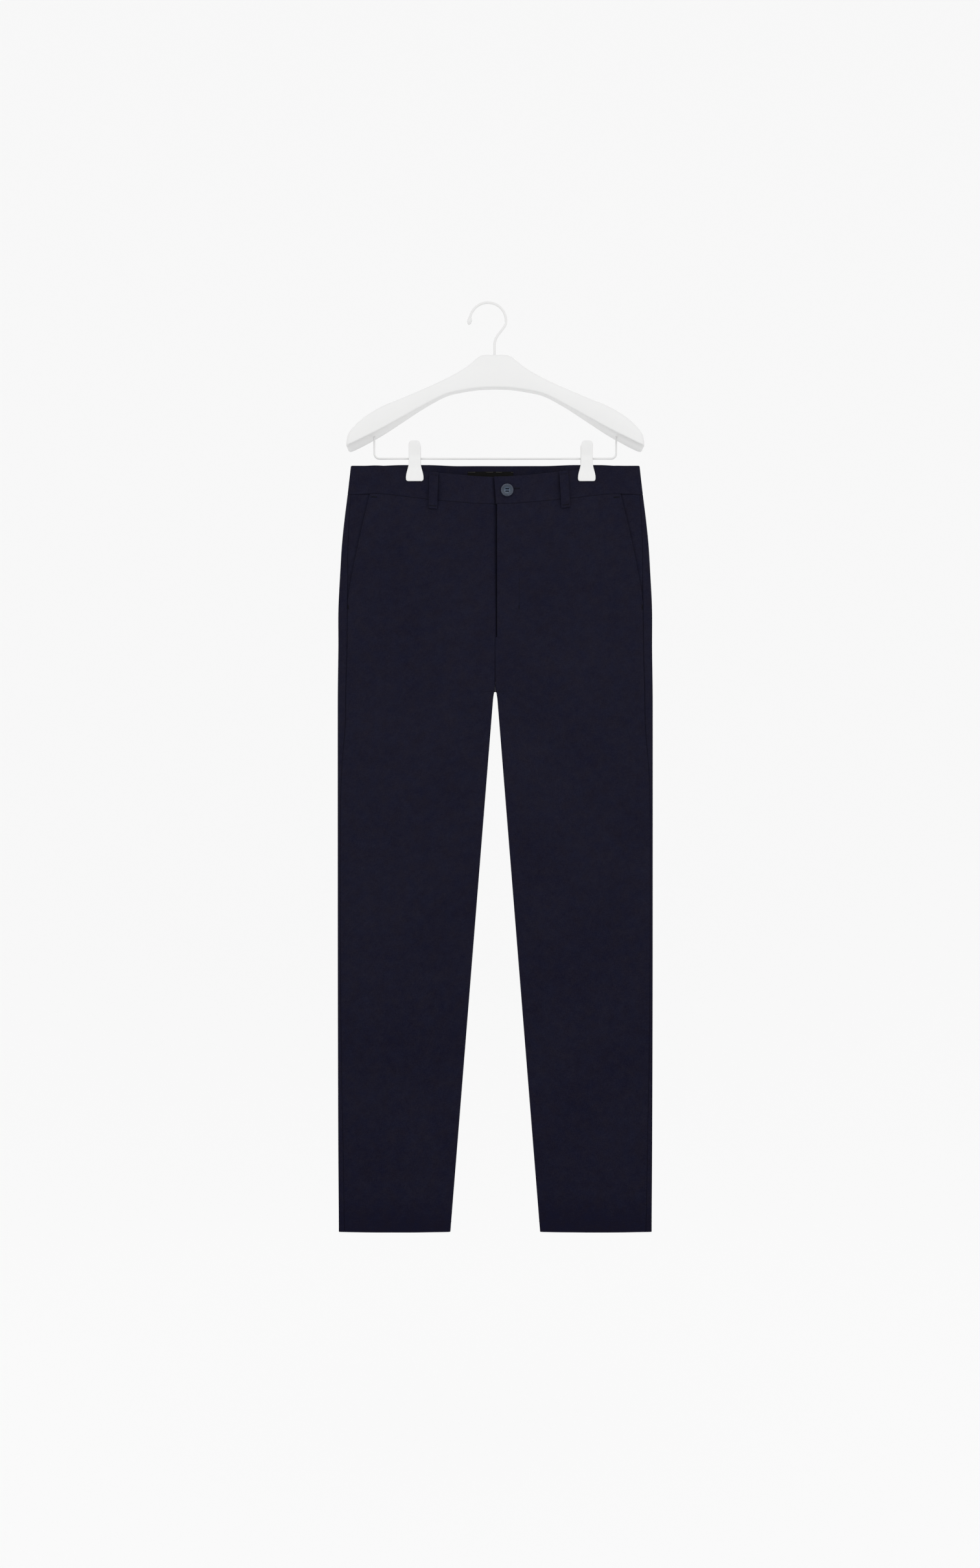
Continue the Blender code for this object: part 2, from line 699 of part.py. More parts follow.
def hook_path():
    """From the tip over the crest, back to the neck and down to the hanger body."""
    middle_z = HOOK_WIRE - HOOK_BEND
    path = []
    for k in range(HOOK_TURN_STEPS + 1):
        angle = math.radians(mix(HOOK_TIP_ANGLE, HOOK_TURN_END, k / HOOK_TURN_STEPS))
        path.append((HOOK_MIDDLE_X + HOOK_BEND * math.cos(angle), middle_z + HOOK_BEND * math.sin(angle)))
    end = path[-1]
    ahead = (end[0] + HOOK_SWING * math.sin(angle), end[1] - HOOK_SWING * math.cos(angle))
    neck = (HOOK_NECK_X, HOOK_NECK_Z)
    path += bezier(end, ahead, (neck[0], neck[1] + HOOK_SWING), neck, HOOK_SWING_STEPS)
    return path + [(HOOK_NECK_X, SHOULDERS[0].top + GAP)]


def make_hook():
    """Round wire with a ball at its tip."""
    path = hook_path()
    tip = path[0]
    tail = []
    radii = []
    for share in BALL_ROWS:
        tail.append((tip[0], tip[1] + HOOK_BALL * share))
        radii.append(HOOK_BALL * math.sqrt(1.0 - share**2))
    radii[-1] = HOOK_WIRE
    path = tail + path[2:]
    radii += [HOOK_WIRE] * (len(path) - len(tail))
    add_loft("hanger_hook", wire_rings(path, radii), WHITE_WIRE)


def make_bar():
    """Wire let into the underside of the body at both ends."""
    half = BAR_HALF_WIDTH
    underside = eased(SHOULDERS, half).bottom
    corner = []
    for k in range(BEND_STEPS + 1):
        angle = math.pi / 2 * k / BEND_STEPS
        corner.append((half - BAR_BEND * (1 - math.cos(angle)), BAR_Z + BAR_BEND * (1 - math.sin(angle))))
    right = [(half, underside), (half, mix(BAR_Z, underside, BAR_SOCKET))] + corner
    path = [(-x, z) for x, z in right] + [(x, z) for x, z in reversed(right)]
    path = [(MIDDLE_X + x, z) for x, z in path]
    rings = wire_rings(path, [BAR_RADIUS] * len(path))
    for end in (rings[0], rings[-1]):
        end[:] = [(x, y, eased(SHOULDERS, abs(x - MIDDLE_X)).bottom - GAP) for x, y, z in end]
    add_loft("hanger_bar", rings, WHITE_WIRE)


def jaw_ring(row, clip_x, sign):
    """Section of a jaw: flat towards the cloth, eased on its outer edges."""
    ease = min(CLIP_EASE, row.half_width / 3)
    inside = row.inside
    outside = row.inside + CLIP_WALL
    outline = [
        (-row.half_width, inside),
        (row.half_width, inside),
        (row.half_width, outside - ease),
        (row.half_width - ease, outside),
        (-row.half_width + ease, outside),
        (-row.half_width, outside - ease),
    ]
    return [(MIDDLE_X + clip_x + x, sign * y, CLIP_BOTTOM_Z + row.height) for x, y in outline]


def make_clips():
    """Two jaws on a spring barrel that turns on the bar."""
    for side, clip_x in CLIP_X.items():
        for face, sign in (("front", -1), ("back", 1)):
            rings = [jaw_ring(row, clip_x, sign) for row in JAW_ROWS]
            add_loft(f"clip_{side}_{face}", rings, WHITE_PLASTIC)
        make_barrel(f"clip_{side}_spring", MIDDLE_X + clip_x)


def make_barrel(name, x):
    """Sleeve round the bar."""
    bm = bmesh.new()
    loops = []
    ends = (x - BARREL_LENGTH / 2, x + BARREL_LENGTH / 2)
    turns = [2 * math.pi * (k + 0.5) / BARREL_SIDES for k in range(BARREL_SIDES)]
    for radius, order in ((BARREL_RADIUS, ends), (BAR_RADIUS + GAP, ends[::-1])):
        across = [(radius * math.cos(a), BAR_Z + radius * math.sin(a)) for a in turns]
        for end_x in order:
            loops.append([bm.verts.new((end_x, y, z)) for y, z in across])
    for first, second in zip(loops, loops[1:] + loops[:1]):
        for k in range(BARREL_SIDES):
            after = (k + 1) % BARREL_SIDES
            bm.faces.new((first[k], first[after], second[after], second[k]))
    add_object(name, bm, WHITE_WIRE)


# ---------------------------------------------------------------- the whole part

def main():
    for obj in list(bpy.data.objects):
        bpy.data.objects.remove(obj, do_unlink=True)
    make_panels()
    make_waistband()
    make_pocket_facings()
    make_fly()
    make_belt_loops()
    make_button()
    make_label()
    make_hanger_body()
    make_hook()
    make_bar()
    make_clips()


main()
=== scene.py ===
"""Chino trousers in the clips of a white hanger: cloth, sewing, button, label and lacquer.

Metres, +Z up. The front faces -Y and the wearer's left side lies at +X. Heights on the garment are
given as "down", the distance below the top edge of the waistband at the side seams.
"""

import math
from collections import namedtuple

import bmesh
import bpy
import numpy as np
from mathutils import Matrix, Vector


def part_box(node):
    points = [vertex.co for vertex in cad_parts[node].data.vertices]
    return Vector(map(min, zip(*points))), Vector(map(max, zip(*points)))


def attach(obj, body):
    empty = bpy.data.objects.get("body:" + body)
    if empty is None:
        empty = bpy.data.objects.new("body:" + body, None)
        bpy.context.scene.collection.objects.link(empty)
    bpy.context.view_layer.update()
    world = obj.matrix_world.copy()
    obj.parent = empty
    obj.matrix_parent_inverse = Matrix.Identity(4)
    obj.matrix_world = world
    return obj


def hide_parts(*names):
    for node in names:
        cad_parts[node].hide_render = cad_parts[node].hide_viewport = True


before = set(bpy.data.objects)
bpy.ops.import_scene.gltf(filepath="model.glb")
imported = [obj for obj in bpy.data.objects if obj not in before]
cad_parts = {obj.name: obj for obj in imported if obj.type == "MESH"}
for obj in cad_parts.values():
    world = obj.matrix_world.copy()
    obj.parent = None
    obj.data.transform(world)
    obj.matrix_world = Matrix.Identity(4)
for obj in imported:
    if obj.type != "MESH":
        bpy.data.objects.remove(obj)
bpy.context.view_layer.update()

# ---------------------------------------------------------------- sizes

SIDES = {"left": 1, "right": -1}
MIDDLE_X = (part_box("back_left")[1].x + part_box("back_right")[0].x) / 2
WAIST_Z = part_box("waistband_left")[1].z
HEM = WAIST_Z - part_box("back_left")[0].z

CLOTH = 0.0014           # wall of a panel
BAND_WALL = 0.0022       # wall of the waistband
HEM_WALL = 0.0024        # wall where the hem is turned up
TRIM_WALL = 0.0012       # zip tape and shield
GAP = 0.0003             # between pieces that lie on each other
SEAM = 0.00004           # what is left open between pieces that are sewn together
FAR = 1.0                # distance to an edge that a piece doesn't have
FOLD_RADIUS = 0.0032     # outside of the fold along a leg's edge
CROWN_REACH = 0.075      # distance over which the cloth rises from a fold to its full depth
DRAPE_MARGIN = 0.020     # strip along a panel's edge in which the soft folds die out

BAND_HEIGHT = 0.0425
PANEL_TOP = BAND_HEIGHT + SEAM
LOOP_END = 0.0568
POCKET_END = 0.2070
FLY_END = 0.2524
CROTCH = 0.3295
HEM_TURN = 0.0150

WAIST_DIP = 0.0174       # how far the front waist hangs below the back at the centre
SIDE_DIP = 0.0013        # how far it does so near the sides
SIDE_DIP_REACH = 0.0300
SIDE_DROP = 0.0018       # front and back both hang lower at the sides
SIDE_DROP_REACH = 0.0560
DIP_HALF_WIDTH = 0.1800
DIP_ROUND = 0.8
DIP_FADE = 0.2000
HEM_CURL = 0.0012
HEM_CURL_REACH = 0.0340
LAP_HALF_WIDTH = 0.0500
LAP_RISE = 0.0008        # the left side lies on top
LAP_SINK = BAND_WALL + GAP - LAP_RISE
LAP_FADE_FROM = 0.1000
UNDERLAP = 0.0380
SHIELD_DEPTH = 0.0060
SHIELD_TAIL = 0.0100

SLANT_TOP_X = 0.1814
SLANT_END_X = 0.2143
SLANT_CURVE = 1.25
FACING_FLUSH_WIDTH = 0.0120
FACING_TAIL = 0.0100
MOUTH_DIP = 0.0008       # the facing lies lower right beside the mouth's edge
MOUTH_DIP_WIDTH = 0.0034
MOUTH_DIP_FADE = 0.1200
MOUTH_GAPE = 0.0009      # the mouth's edge stands off the facing
MOUTH_GAPE_WIDTH = 0.0120
MOUTH_GAPE_MIDDLE = 0.0260   # it does so most this far above the pocket's end
MOUTH_GAPE_REACH = 0.0300

CROTCH_REACH = 0.0700
LEG_GAP_START = 0.0016
LEG_GAP_START_REACH = 0.0010
LEG_SPREAD = 0.0802

CLIP_X = {side: sum(corner.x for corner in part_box(f"clip_{side}_front")) / 2 - MIDDLE_X
          for side in SIDES}
PINCHED_DEPTH = 0.00235
PINCH_FLAT = 0.0150
PINCH_REACH = 0.0650
PINCH_LEVEL_TO = 0.0280
PINCH_FADE_TO = 0.1050

FRONT_LOOPS = {"left": (0.0990, 0.1020), "right": (-0.0887, -0.0903)}   # top and bottom middle
BACK_LOOPS = {"left": (0.0880, 0.0880), "right": (-0.0880, -0.0880), "centre": (0.0, 0.0)}
LOOP_HALF_WIDTH = 0.0066
BUTTON_LOW, BUTTON_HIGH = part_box("button")
BUTTON_X = (BUTTON_LOW.x + BUTTON_HIGH.x) / 2
BUTTON_Z = (BUTTON_LOW.z + BUTTON_HIGH.z) / 2
BUTTON_BACK = BUTTON_HIGH.y
LOOP_WALL = 0.0016
LOOP_SEAT = 0.0006
LOOP_BOW = 0.0025
LOOP_TILT = 0.0009       # the edge towards the wearer's right stands off further

Section = namedtuple("Section", "down half_width front_depth back_depth seam_in")
SECTIONS = tuple(Section(*row) for row in (
    # down, half_width, front_depth, back_depth, seam_in (side seam, in from the outer fold)
    (0.0000, 0.2094, 0.0090, 0.0095, 0.0053),
    (0.0438, 0.2144, 0.0090, 0.0105, 0.0053),
    (0.0776, 0.2186, 0.0091, 0.0120, 0.0070),
    (0.1152, 0.2224, 0.0092, 0.0133, 0.0093),
    (0.1528, 0.2247, 0.0092, 0.0142, 0.0113),
    (0.2092, 0.2275, 0.0090, 0.0146, 0.0136),
    (0.2656, 0.2276, 0.0087, 0.0138, 0.0130),
    (0.3295, 0.2284, 0.0082, 0.0115, 0.0120),
    (0.3784, 0.2285, 0.0080, 0.0098, 0.0113),
    (0.4405, 0.2285, 0.0080, 0.0090, 0.0063),
    (0.5006, 0.2285, 0.0080, 0.0088, 0.0042),
    (0.7356, 0.2284, 0.0075, 0.0082, 0.0042),
    (0.8766, 0.2281, 0.0072, 0.0078, 0.0056),
    (1.0045, 0.2276, 0.0068, 0.0074, 0.0075),
    (1.1126, 0.2268, 0.0062, 0.0066, 0.0085),
))

Fold = namedtuple("Fold", "across down reach_across reach_down height lean")
FOLDS = {
    # across, down, reach_across, reach_down, height, lean (across per metre down)
    "front": [Fold(*row) for row in (
        (-0.120, 0.480, 0.055, 0.150, 0.0010, 0.05),
        (0.128, 0.560, 0.050, 0.170, 0.0011, -0.04),
        (-0.140, 0.860, 0.050, 0.160, 0.0009, 0.03),
        (0.150, 0.930, 0.045, 0.130, 0.0010, -0.02),
    )],
    "back": [Fold(*row) for row in (
        (-0.105, 0.345, 0.060, 0.060, -0.0022, 0.25),
        (0.112, 0.350, 0.058, 0.065, -0.0025, -0.22),
        (-0.130, 0.610, 0.050, 0.160, 0.0012, 0.04),
        (0.125, 0.570, 0.055, 0.150, 0.0010, -0.05),
        (-0.145, 0.900, 0.045, 0.140, 0.0010, 0.02),
        (0.150, 0.850, 0.050, 0.160, 0.0011, -0.03),
    )],
}

Crease = namedtuple("Crease", "x down length width angle height bend")
CREASES = {
    # x, down (its middle), length, width, angle (degrees below the horizontal), height, bend
    "front": [Crease(*row) for row in (
        (-0.004, 0.238, 0.040, 0.0160, 80, -0.0006, 0.0),
        (0.014, 0.246, 0.036, 0.0120, 55, -0.0005, 0.1),
        (-0.060, 0.282, 0.110, 0.0120, 152, -0.0007, 0.12),
        (0.066, 0.286, 0.104, 0.0130, 26, -0.0006, -0.14),
        (-0.046, 0.312, 0.084, 0.0085, 160, 0.0004, 0.10),
        (0.050, 0.306, 0.076, 0.0080, 22, 0.0004, -0.10),
        (-0.150, 0.325, 0.090, 0.0180, 170, -0.0006, -0.08),
        (0.160, 0.338, 0.100, 0.0190, 8, -0.0007, 0.08),
        (-0.085, 0.405, 0.120, 0.0140, 140, 0.0005, 0.20),
        (0.074, 0.392, 0.110, 0.0130, 44, 0.0005, -0.20),
        (-0.120, 0.108, 0.080, 0.0150, 96, -0.0004, 0.0),
        (0.126, 0.112, 0.084, 0.0150, 84, -0.0004, 0.0),
        (-0.064, 0.128, 0.070, 0.0110, 104, 0.0003, 0.1),
        (0.062, 0.120, 0.064, 0.0110, 76, 0.0003, -0.1),
        (0.118, 0.660, 0.130, 0.0160, 30, 0.0005, 0.10),
        (-0.132, 0.690, 0.120, 0.0170, 142, 0.0004, 0.12),
        (-0.110, 0.742, 0.090, 0.0130, 166, -0.0005, 0.05),
        (0.140, 0.755, 0.100, 0.0140, 12, -0.0005, -0.06),
        (0.120, 0.870, 0.110, 0.0180, 64, -0.0004, 0.10),
        (-0.150, 0.980, 0.110, 0.0200, 100, -0.0004, 0.0),
        (0.165, 1.010, 0.100, 0.0180, 84, 0.0004, 0.0),
    )],
    "back": [Crease(*row) for row in (
        (-0.050, 0.262, 0.110, 0.0100, 150, -0.0009, 0.18),
        (0.056, 0.258, 0.104, 0.0105, 30, -0.0009, -0.18),
        (-0.078, 0.312, 0.130, 0.0090, 162, 0.0009, 0.16),
        (0.084, 0.306, 0.124, 0.0095, 20, 0.0008, -0.16),
        (-0.092, 0.352, 0.140, 0.0110, 170, -0.0010, 0.12),
        (0.098, 0.346, 0.132, 0.0110, 12, -0.0010, -0.13),
        (-0.112, 0.398, 0.110, 0.0120, 158, 0.0007, 0.10),
        (0.120, 0.404, 0.100, 0.0120, 22, 0.0007, -0.10),
        (-0.120, 0.115, 0.090, 0.0140, 95, -0.0006, 0.0),
        (0.130, 0.118, 0.090, 0.0140, 86, -0.0006, 0.0),
        (-0.060, 0.150, 0.080, 0.0120, 106, 0.0005, 0.1),
        (0.064, 0.146, 0.084, 0.0120, 74, 0.0005, -0.1),
        (-0.130, 0.655, 0.120, 0.0130, 168, -0.0007, 0.10),
        (0.122, 0.668, 0.110, 0.0130, 14, -0.0007, -0.10),
        (-0.126, 0.700, 0.100, 0.0110, 176, 0.0006, 0.08),
        (0.128, 0.712, 0.090, 0.0110, 6, 0.0006, -0.08),
        (-0.150, 0.960, 0.130, 0.0190, 98, -0.0005, 0.0),
        (0.158, 0.940, 0.130, 0.0190, 82, 0.0005, 0.0),
    )],
}

Shoulder = namedtuple("Shoulder", "across top bottom thick")
SHOULDERS = tuple(Shoulder(*row) for row in (
    # across, top, bottom, thick
    (0.0000, -0.0753, -0.1230, 0.0155),
    (0.0190, -0.0758, -0.1236, 0.0155),
    (0.0260, -0.0797, -0.1242, 0.0156),
    (0.0423, -0.0932, -0.1265, 0.0158),
    (0.0705, -0.1094, -0.1329, 0.0170),
    (0.1034, -0.1252, -0.1499, 0.0215),
    (0.1363, -0.1408, -0.1697, 0.0330),
    (0.1645, -0.1541, -0.1866, 0.0430),
    (0.1880, -0.1693, -0.1990, 0.0485),
    (0.2049, -0.1850, -0.2074, 0.0500),
    (0.2120, -0.1955, -0.2100, 0.0480),
    (0.2142, -0.2040, -0.2100, 0.0400),
))

JawRow = namedtuple("JawRow", "height half_width inside")
JAW_ROWS = tuple(JawRow(*row) for row in (
    # height above the clip's lower edge, half_width, inside (face towards the cloth)
    (0.0000, 0.01240, 0.00265),
    (0.0056, 0.01275, 0.00265),
    (0.0100, 0.01220, 0.00265),
    (0.0138, 0.01130, 0.00265),
    (0.0195, 0.00970, 0.00265),
    (0.0240, 0.00885, 0.00300),
    (0.0300, 0.00865, 0.00360),
    (0.0370, 0.00860, 0.00400),
    (0.0510, 0.00855, 0.00780),
    (0.0572, 0.00850, 0.00930),
))


# ---------------------------------------------------------------- numbers

def smooth(t):
    """0 to 1 with level ends."""
    t = np.clip(t, 0.0, 1.0)
    return t * t * (3.0 - 2.0 * t)


def mix(a, b, share):
    return a + (b - a) * share


def eased(table, key):
    """A row of a table at any keys, on smooth curves through the table's rows."""
    rows = np.array(table)
    key = np.asarray(key, float)
    last = len(rows) - 2
    i = np.clip(np.searchsorted(rows[:, 0], key, side="right") - 1, 0, last)
    before, low, high, after = (rows[np.clip(i + k, 0, last + 1)] for k in (-1, 0, 1, 2))
    span = (high[..., 0] - low[..., 0])[..., None]
    t = np.clip((key - low[..., 0])[..., None] / span, 0.0, 1.0)
    slope_low = (high - before) / (high[..., :1] - before[..., :1]) * span
    slope_high = (after - low) / (after[..., :1] - low[..., :1]) * span
    value = (2 * t**3 - 3 * t**2 + 1) * low + (t**3 - 2 * t**2 + t) * slope_low
    value = value + (3 * t**2 - 2 * t**3) * high + (t**3 - t**2) * slope_high
    value[..., 0] = key
    return type(table[0])(*np.moveaxis(value, -1, 0))


def ripple(along, seed, waves):
    """Uneven wave along a seam, from -1 to 1."""
    rng = np.random.default_rng(seed)
    total = 0.0
    for wave in waves:
        total = total + np.sin(2 * math.pi * (along / wave + rng.random())) * rng.uniform(0.6, 1.0)
    return total / len(waves)


# ---------------------------------------------------------------- form of the garment

def leg_gap(down):
    """Half of the space between the legs."""
    below = np.maximum(0.0, down - CROTCH)
    start = LEG_GAP_START * np.minimum(1.0, below / LEG_GAP_START_REACH)
    return SEAM / 2 + start + LEG_SPREAD * below


def joined(down):
    """1 where left and right meet in the centre seam, 0 from the crotch down."""
    t = np.clip((CROTCH - down) / CROTCH_REACH, 0.0, 1.0)
    return np.sqrt(1.0 - (1.0 - t) ** 2)


def arc(distance, radius):
    """Height of a quarter round above its edge."""
    inside = np.clip(distance / radius, 0.0, 1.0)
    return radius * np.sqrt(1.0 - (1.0 - inside) ** 2)


def crown(distance):
    return np.sin(math.pi / 2 * np.clip(distance / CROWN_REACH, 0.0, 1.0))


def pinch(x, down):
    """1 in the clips, 0 where the cloth hangs free of them."""
    level = 1.0 - smooth((down - PINCH_LEVEL_TO) / (PINCH_FADE_TO - PINCH_LEVEL_TO))
    nearest = np.minimum(*(np.abs(x - clip_x) for clip_x in CLIP_X.values()))
    return level * (1.0 - smooth((nearest - PINCH_FLAT) / (PINCH_REACH - PINCH_FLAT)))


def drape(face, x, down):
    """Soft folds of the hanging cloth."""
    total = 0.0
    for fold in FOLDS[face]:
        along = (down - fold.down) / fold.reach_down
        across = (x - fold.across - fold.lean * (down - fold.down)) / fold.reach_across
        total = total + fold.height * smooth(1.0 - np.hypot(along, across))
    return total


def creases(face, x, down):
    """Creases laid one by one: soft ridges and troughs, each fading towards its ends."""
    total = 0.0
    for crease in CREASES[face]:
        turn = math.radians(crease.angle)
        right, below = x - crease.x, down - crease.down
        along = (right * math.cos(turn) + below * math.sin(turn)) / (crease.length / 2)
        off = below * math.cos(turn) - right * math.sin(turn)
        off = off - crease.bend * crease.length / 2 * along**2
        width = crease.width * (0.75 + 0.25 * np.cos(2.1 * along))
        total = total + crease.height * np.exp(-(off / width) ** 2) * smooth(1.0 - np.abs(along))
    return total


UNEVEN = {"front": (0.00022, 5), "back": (0.00035, 8)}   # height and seed of the slight waviness
UNEVEN_WAVES = (0.042, 0.056, 0.071, 0.090, 0.120, 0.160)
UNEVEN_DOWN = 0.6             # the waves are longer down the cloth than across it
UNEVEN_PEAK = 2.4


def waviness(face, x, down):
    height, seed = UNEVEN[face]
    rng = np.random.default_rng(seed)
    total = 0.0
    for wave in UNEVEN_WAVES:
        turn = rng.uniform(0, math.pi)
        along = x * math.cos(turn) + down * UNEVEN_DOWN * math.sin(turn)
        total = total + np.sin(2 * math.pi * (along / wave + rng.random()))
    return height * total / UNEVEN_PEAK


def side_seam(down):
    section = eased(SECTIONS, down)
    return section.half_width - section.seam_in


PUCKER_REACH = 0.0080
Pucker = namedtuple("Pucker", "height seed waves")
PUCKERS = {
    "waist": Pucker(0.00010, 21, (0.0085, 0.0130, 0.021)),
    "hem": Pucker(0.00009, 22, (0.0075, 0.0120, 0.017)),
    "side_front": Pucker(0.00013, 23, (0.011, 0.016, 0.027)),
    "side_back": Pucker(0.00013, 24, (0.011, 0.016, 0.027)),
    "inseam": Pucker(0.00016, 25, (0.012, 0.019, 0.031)),
}


def pucker(seam, along, distance, reach=PUCKER_REACH):
    height, seed, waves = PUCKERS[seam]
    return height * (np.exp(-distance / reach) * ripple(along, seed, waves))


def seam_puckers(face, x, down):
    """Small waves that the sewing draws up along side seam, inseam, waist seam and hem."""
    half = np.abs(x)
    return (pucker("waist", x, np.abs(down - BAND_HEIGHT))
            + pucker("hem", x, np.abs(HEM - HEM_TURN - down))
            + pucker(f"side_{face}", down, np.abs(half - side_seam(down)))
            + pucker("inseam", down, half - leg_gap(down), PUCKER_REACH * 1.6)
            * smooth((down - CROTCH) / 0.03))


RIDGE_WIDTH = 0.0100          # seam allowance below the fly, pressed to the left
RIDGE_HEIGHT = 0.0007
RIDGE_TAPER = 0.35
RIDGE_EDGE = 0.0022
RIDGE_START = 0.0012
RIDGE_FADE = 0.0200
RIDGE_PAST_CROTCH = 0.0020


def centre_ridge(x, down):
    """The seam allowance under the left front, from the fly's end down to the crotch."""
    share = np.clip((down - FLY_END) / (CROTCH - FLY_END), 0.0, 1.0)
    width = RIDGE_WIDTH * (1.0 - RIDGE_TAPER * share)
    inside = smooth((width - x) / RIDGE_EDGE) * (x > 0.0)
    fade = smooth((CROTCH + RIDGE_PAST_CROTCH - down) / RIDGE_FADE)
    return RIDGE_HEIGHT * inside * (smooth((down - FLY_END) / RIDGE_START) * fade)


HEM_GROOVE = 0.00022          # at the stitching
HEM_GROOVE_WIDTH = 0.0009
HEM_STEP = 0.00012
HEM_STEP_RUN = 0.0020


def hem_step(down):
    """The turned-up layer shows as a slight step at its stitching, and the hem curls in."""
    from_stitch = HEM - HEM_TURN - down
    curl = np.clip((down - HEM + HEM_CURL_REACH) / HEM_CURL_REACH, 0.0, 1.0)
    groove = -HEM_GROOVE * np.exp(-(from_stitch / HEM_GROOVE_WIDTH) ** 2)
    return groove + HEM_STEP * smooth(-from_stitch / HEM_STEP_RUN) - HEM_CURL * curl**2


def mouth_gape(x, down):
    """The pocket's edge stands off a little near its lower end."""
    to_edge = slant(down) - np.abs(x)
    near = smooth(1.0 - to_edge / MOUTH_GAPE_WIDTH) * (to_edge > -GAP)
    level = smooth(1.0 - np.abs(down - POCKET_END + MOUTH_GAPE_MIDDLE) / MOUTH_GAPE_REACH)
    return MOUTH_GAPE * near * level


NEAR_FOLD = 0.0040            # strip along a fold that stays free of puckers


def relief(face, x, down):
    """What lies on the plain form: creases, slight waviness and the seams' puckers."""
    section = eased(SECTIONS, down)
    to_fold = section.half_width - np.abs(x)
    below = smooth((down - CROTCH + CROTCH_REACH) / CROTCH_REACH)
    to_inner = np.abs(x) - leg_gap(down)
    edge = smooth(to_fold / DRAPE_MARGIN) * mix(1.0, smooth(to_inner / DRAPE_MARGIN), below)
    clear = 1.0 - pinch(x, down)
    total = (creases(face, x, down) + waviness(face, x, down)) * edge * clear
    return total + seam_puckers(face, x, down) * smooth(to_fold / NEAR_FOLD) * clear


def plain_depth(face, x, down, inset=0.0):
    """Distance of the wall's surface from the garment's middle plane."""
    section = eased(SECTIONS, down)
    together = joined(down)
    radius = FOLD_RADIUS - inset
    from_outer = section.half_width - inset - np.abs(x)
    from_inner = np.abs(x) - leg_gap(down) - inset * (1.0 - together)
    full = section.front_depth if face == "front" else section.back_depth
    rounded = np.minimum(arc(from_outer, radius), mix(arc(from_inner, radius), radius, together))
    swell = crown(from_outer) * mix(crown(from_inner), 1.0, together)
    depth = rounded + (full - FOLD_RADIUS) * swell
    edge = np.minimum(from_outer, mix(from_inner, section.half_width, together))
    depth = depth + drape(face, x, down) * smooth(edge / DRAPE_MARGIN)
    return mix(depth, PINCHED_DEPTH - inset, pinch(x, down))


def lap_level(x, down):
    level = 1.0 - smooth((down - LAP_FADE_FROM) / (FLY_END - LAP_FADE_FROM))
    return level * (1.0 - smooth(np.abs(x) / LAP_HALF_WIDTH))


def lap(x, down):
    """How far the front opening's overlap lifts the left side and sinks the right one."""
    return lap_level(x, down) * np.where(x > 0.0, LAP_RISE, -LAP_SINK)


def dip_fade(down):
    return 0.5 + 0.5 * np.cos(math.pi * np.minimum(1.0, down / DIP_FADE))


def dip(x, down):
    """How far the front hangs below the back."""
    across = 0.5 + 0.5 * np.cos(math.pi * np.minimum(1.0, np.abs(x) / DIP_HALF_WIDTH))
    from_side = eased(SECTIONS, down).half_width - np.abs(x)
    side = SIDE_DIP * smooth(from_side / SIDE_DIP_REACH)
    side = side * np.clip(1.0 - down / BAND_HEIGHT, 0.0, 1.0)
    return WAIST_DIP * across**DIP_ROUND * dip_fade(down) + side


def side_drop(x, down):
    """How far front and back both hang lower at the side."""
    from_side = eased(SECTIONS, down).half_width - np.abs(x)
    return SIDE_DROP * smooth(1.0 - from_side / SIDE_DROP_REACH) * dip_fade(down)


def place(face, x, depth, down):
    """Points of the front or back at a depth from the middle plane."""
    x, depth, down = np.broadcast_arrays(x, depth, down)
    height = WAIST_Z - down - side_drop(x, down)
    if face == "front":
        return np.stack((MIDDLE_X + x, -depth, height - dip(x, down)), axis=-1)
    return np.stack((MIDDLE_X + x, depth, height), axis=-1)


def surface_depth(face, x, down, inset=0.0, sink=0.0):
    """Depth of the finished cloth, creases and overlap included."""
    depth = plain_depth(face, x, down, inset) + relief(face, x, down) - sink
    if face == "front":
        depth = depth + lap(x, down) + centre_ridge(x, down)
    depth = depth + np.where(down > HEM - HEM_CURL_REACH, hem_step(down), 0.0)
    middle = np.abs(x) < eased(SECTIONS, down).half_width / 2
    return np.where(middle, np.maximum(depth, SEAM / 2), depth)


def slant(down):
    """Edge of the pocket mouth."""
    t = np.clip((down - PANEL_TOP) / (POCKET_END - PANEL_TOP), 0.0, 1.0)
    return mix(SLANT_TOP_X, SLANT_END_X, 1.0 - (1.0 - t) ** SLANT_CURVE)


def front_edge(down):
    """Outer edge of the front panel: the pocket mouth, then the side seam."""
    seam = side_seam(down) - SEAM / 2
    return np.where(down >= POCKET_END, seam, np.minimum(seam, slant(down)))


# ---------------------------------------------------------------- edges of a piece

FREE_OFFSETS = (0.0, 0.00008, 0.00030, 0.00065, 0.0012, 0.0022, 0.0040, 0.0068, 0.0105)
NOSE = 0.42                   # share of the wall that each face turns in at a free edge
SEAM_DEPTH = 0.00075
SEAM_WIDTH = 0.0019
SIDE_SEAM_EXTRA = 0.7
SIDE_SEAM_LEVELS = ((0.16, 0.06), (0.33, 0.12))   # where it sets in and fades, and how fast


def nose(distance, wall):
    """How far each face of a wall turns in towards its middle near a free edge."""
    t = np.clip(2.0 * distance / wall, 0.0, 1.0)
    return wall * NOSE * (1.0 - np.sqrt(1.0 - (1.0 - t) ** 2))


def seam_roll(distance, deeper=1.0):
    """How far the outer face dives into a seam."""
    t = np.clip(distance / (SEAM_WIDTH * deeper), 0.0, 1.0)
    return SEAM_DEPTH * deeper * (1.0 - np.sqrt(1.0 - (1.0 - t) ** 2))


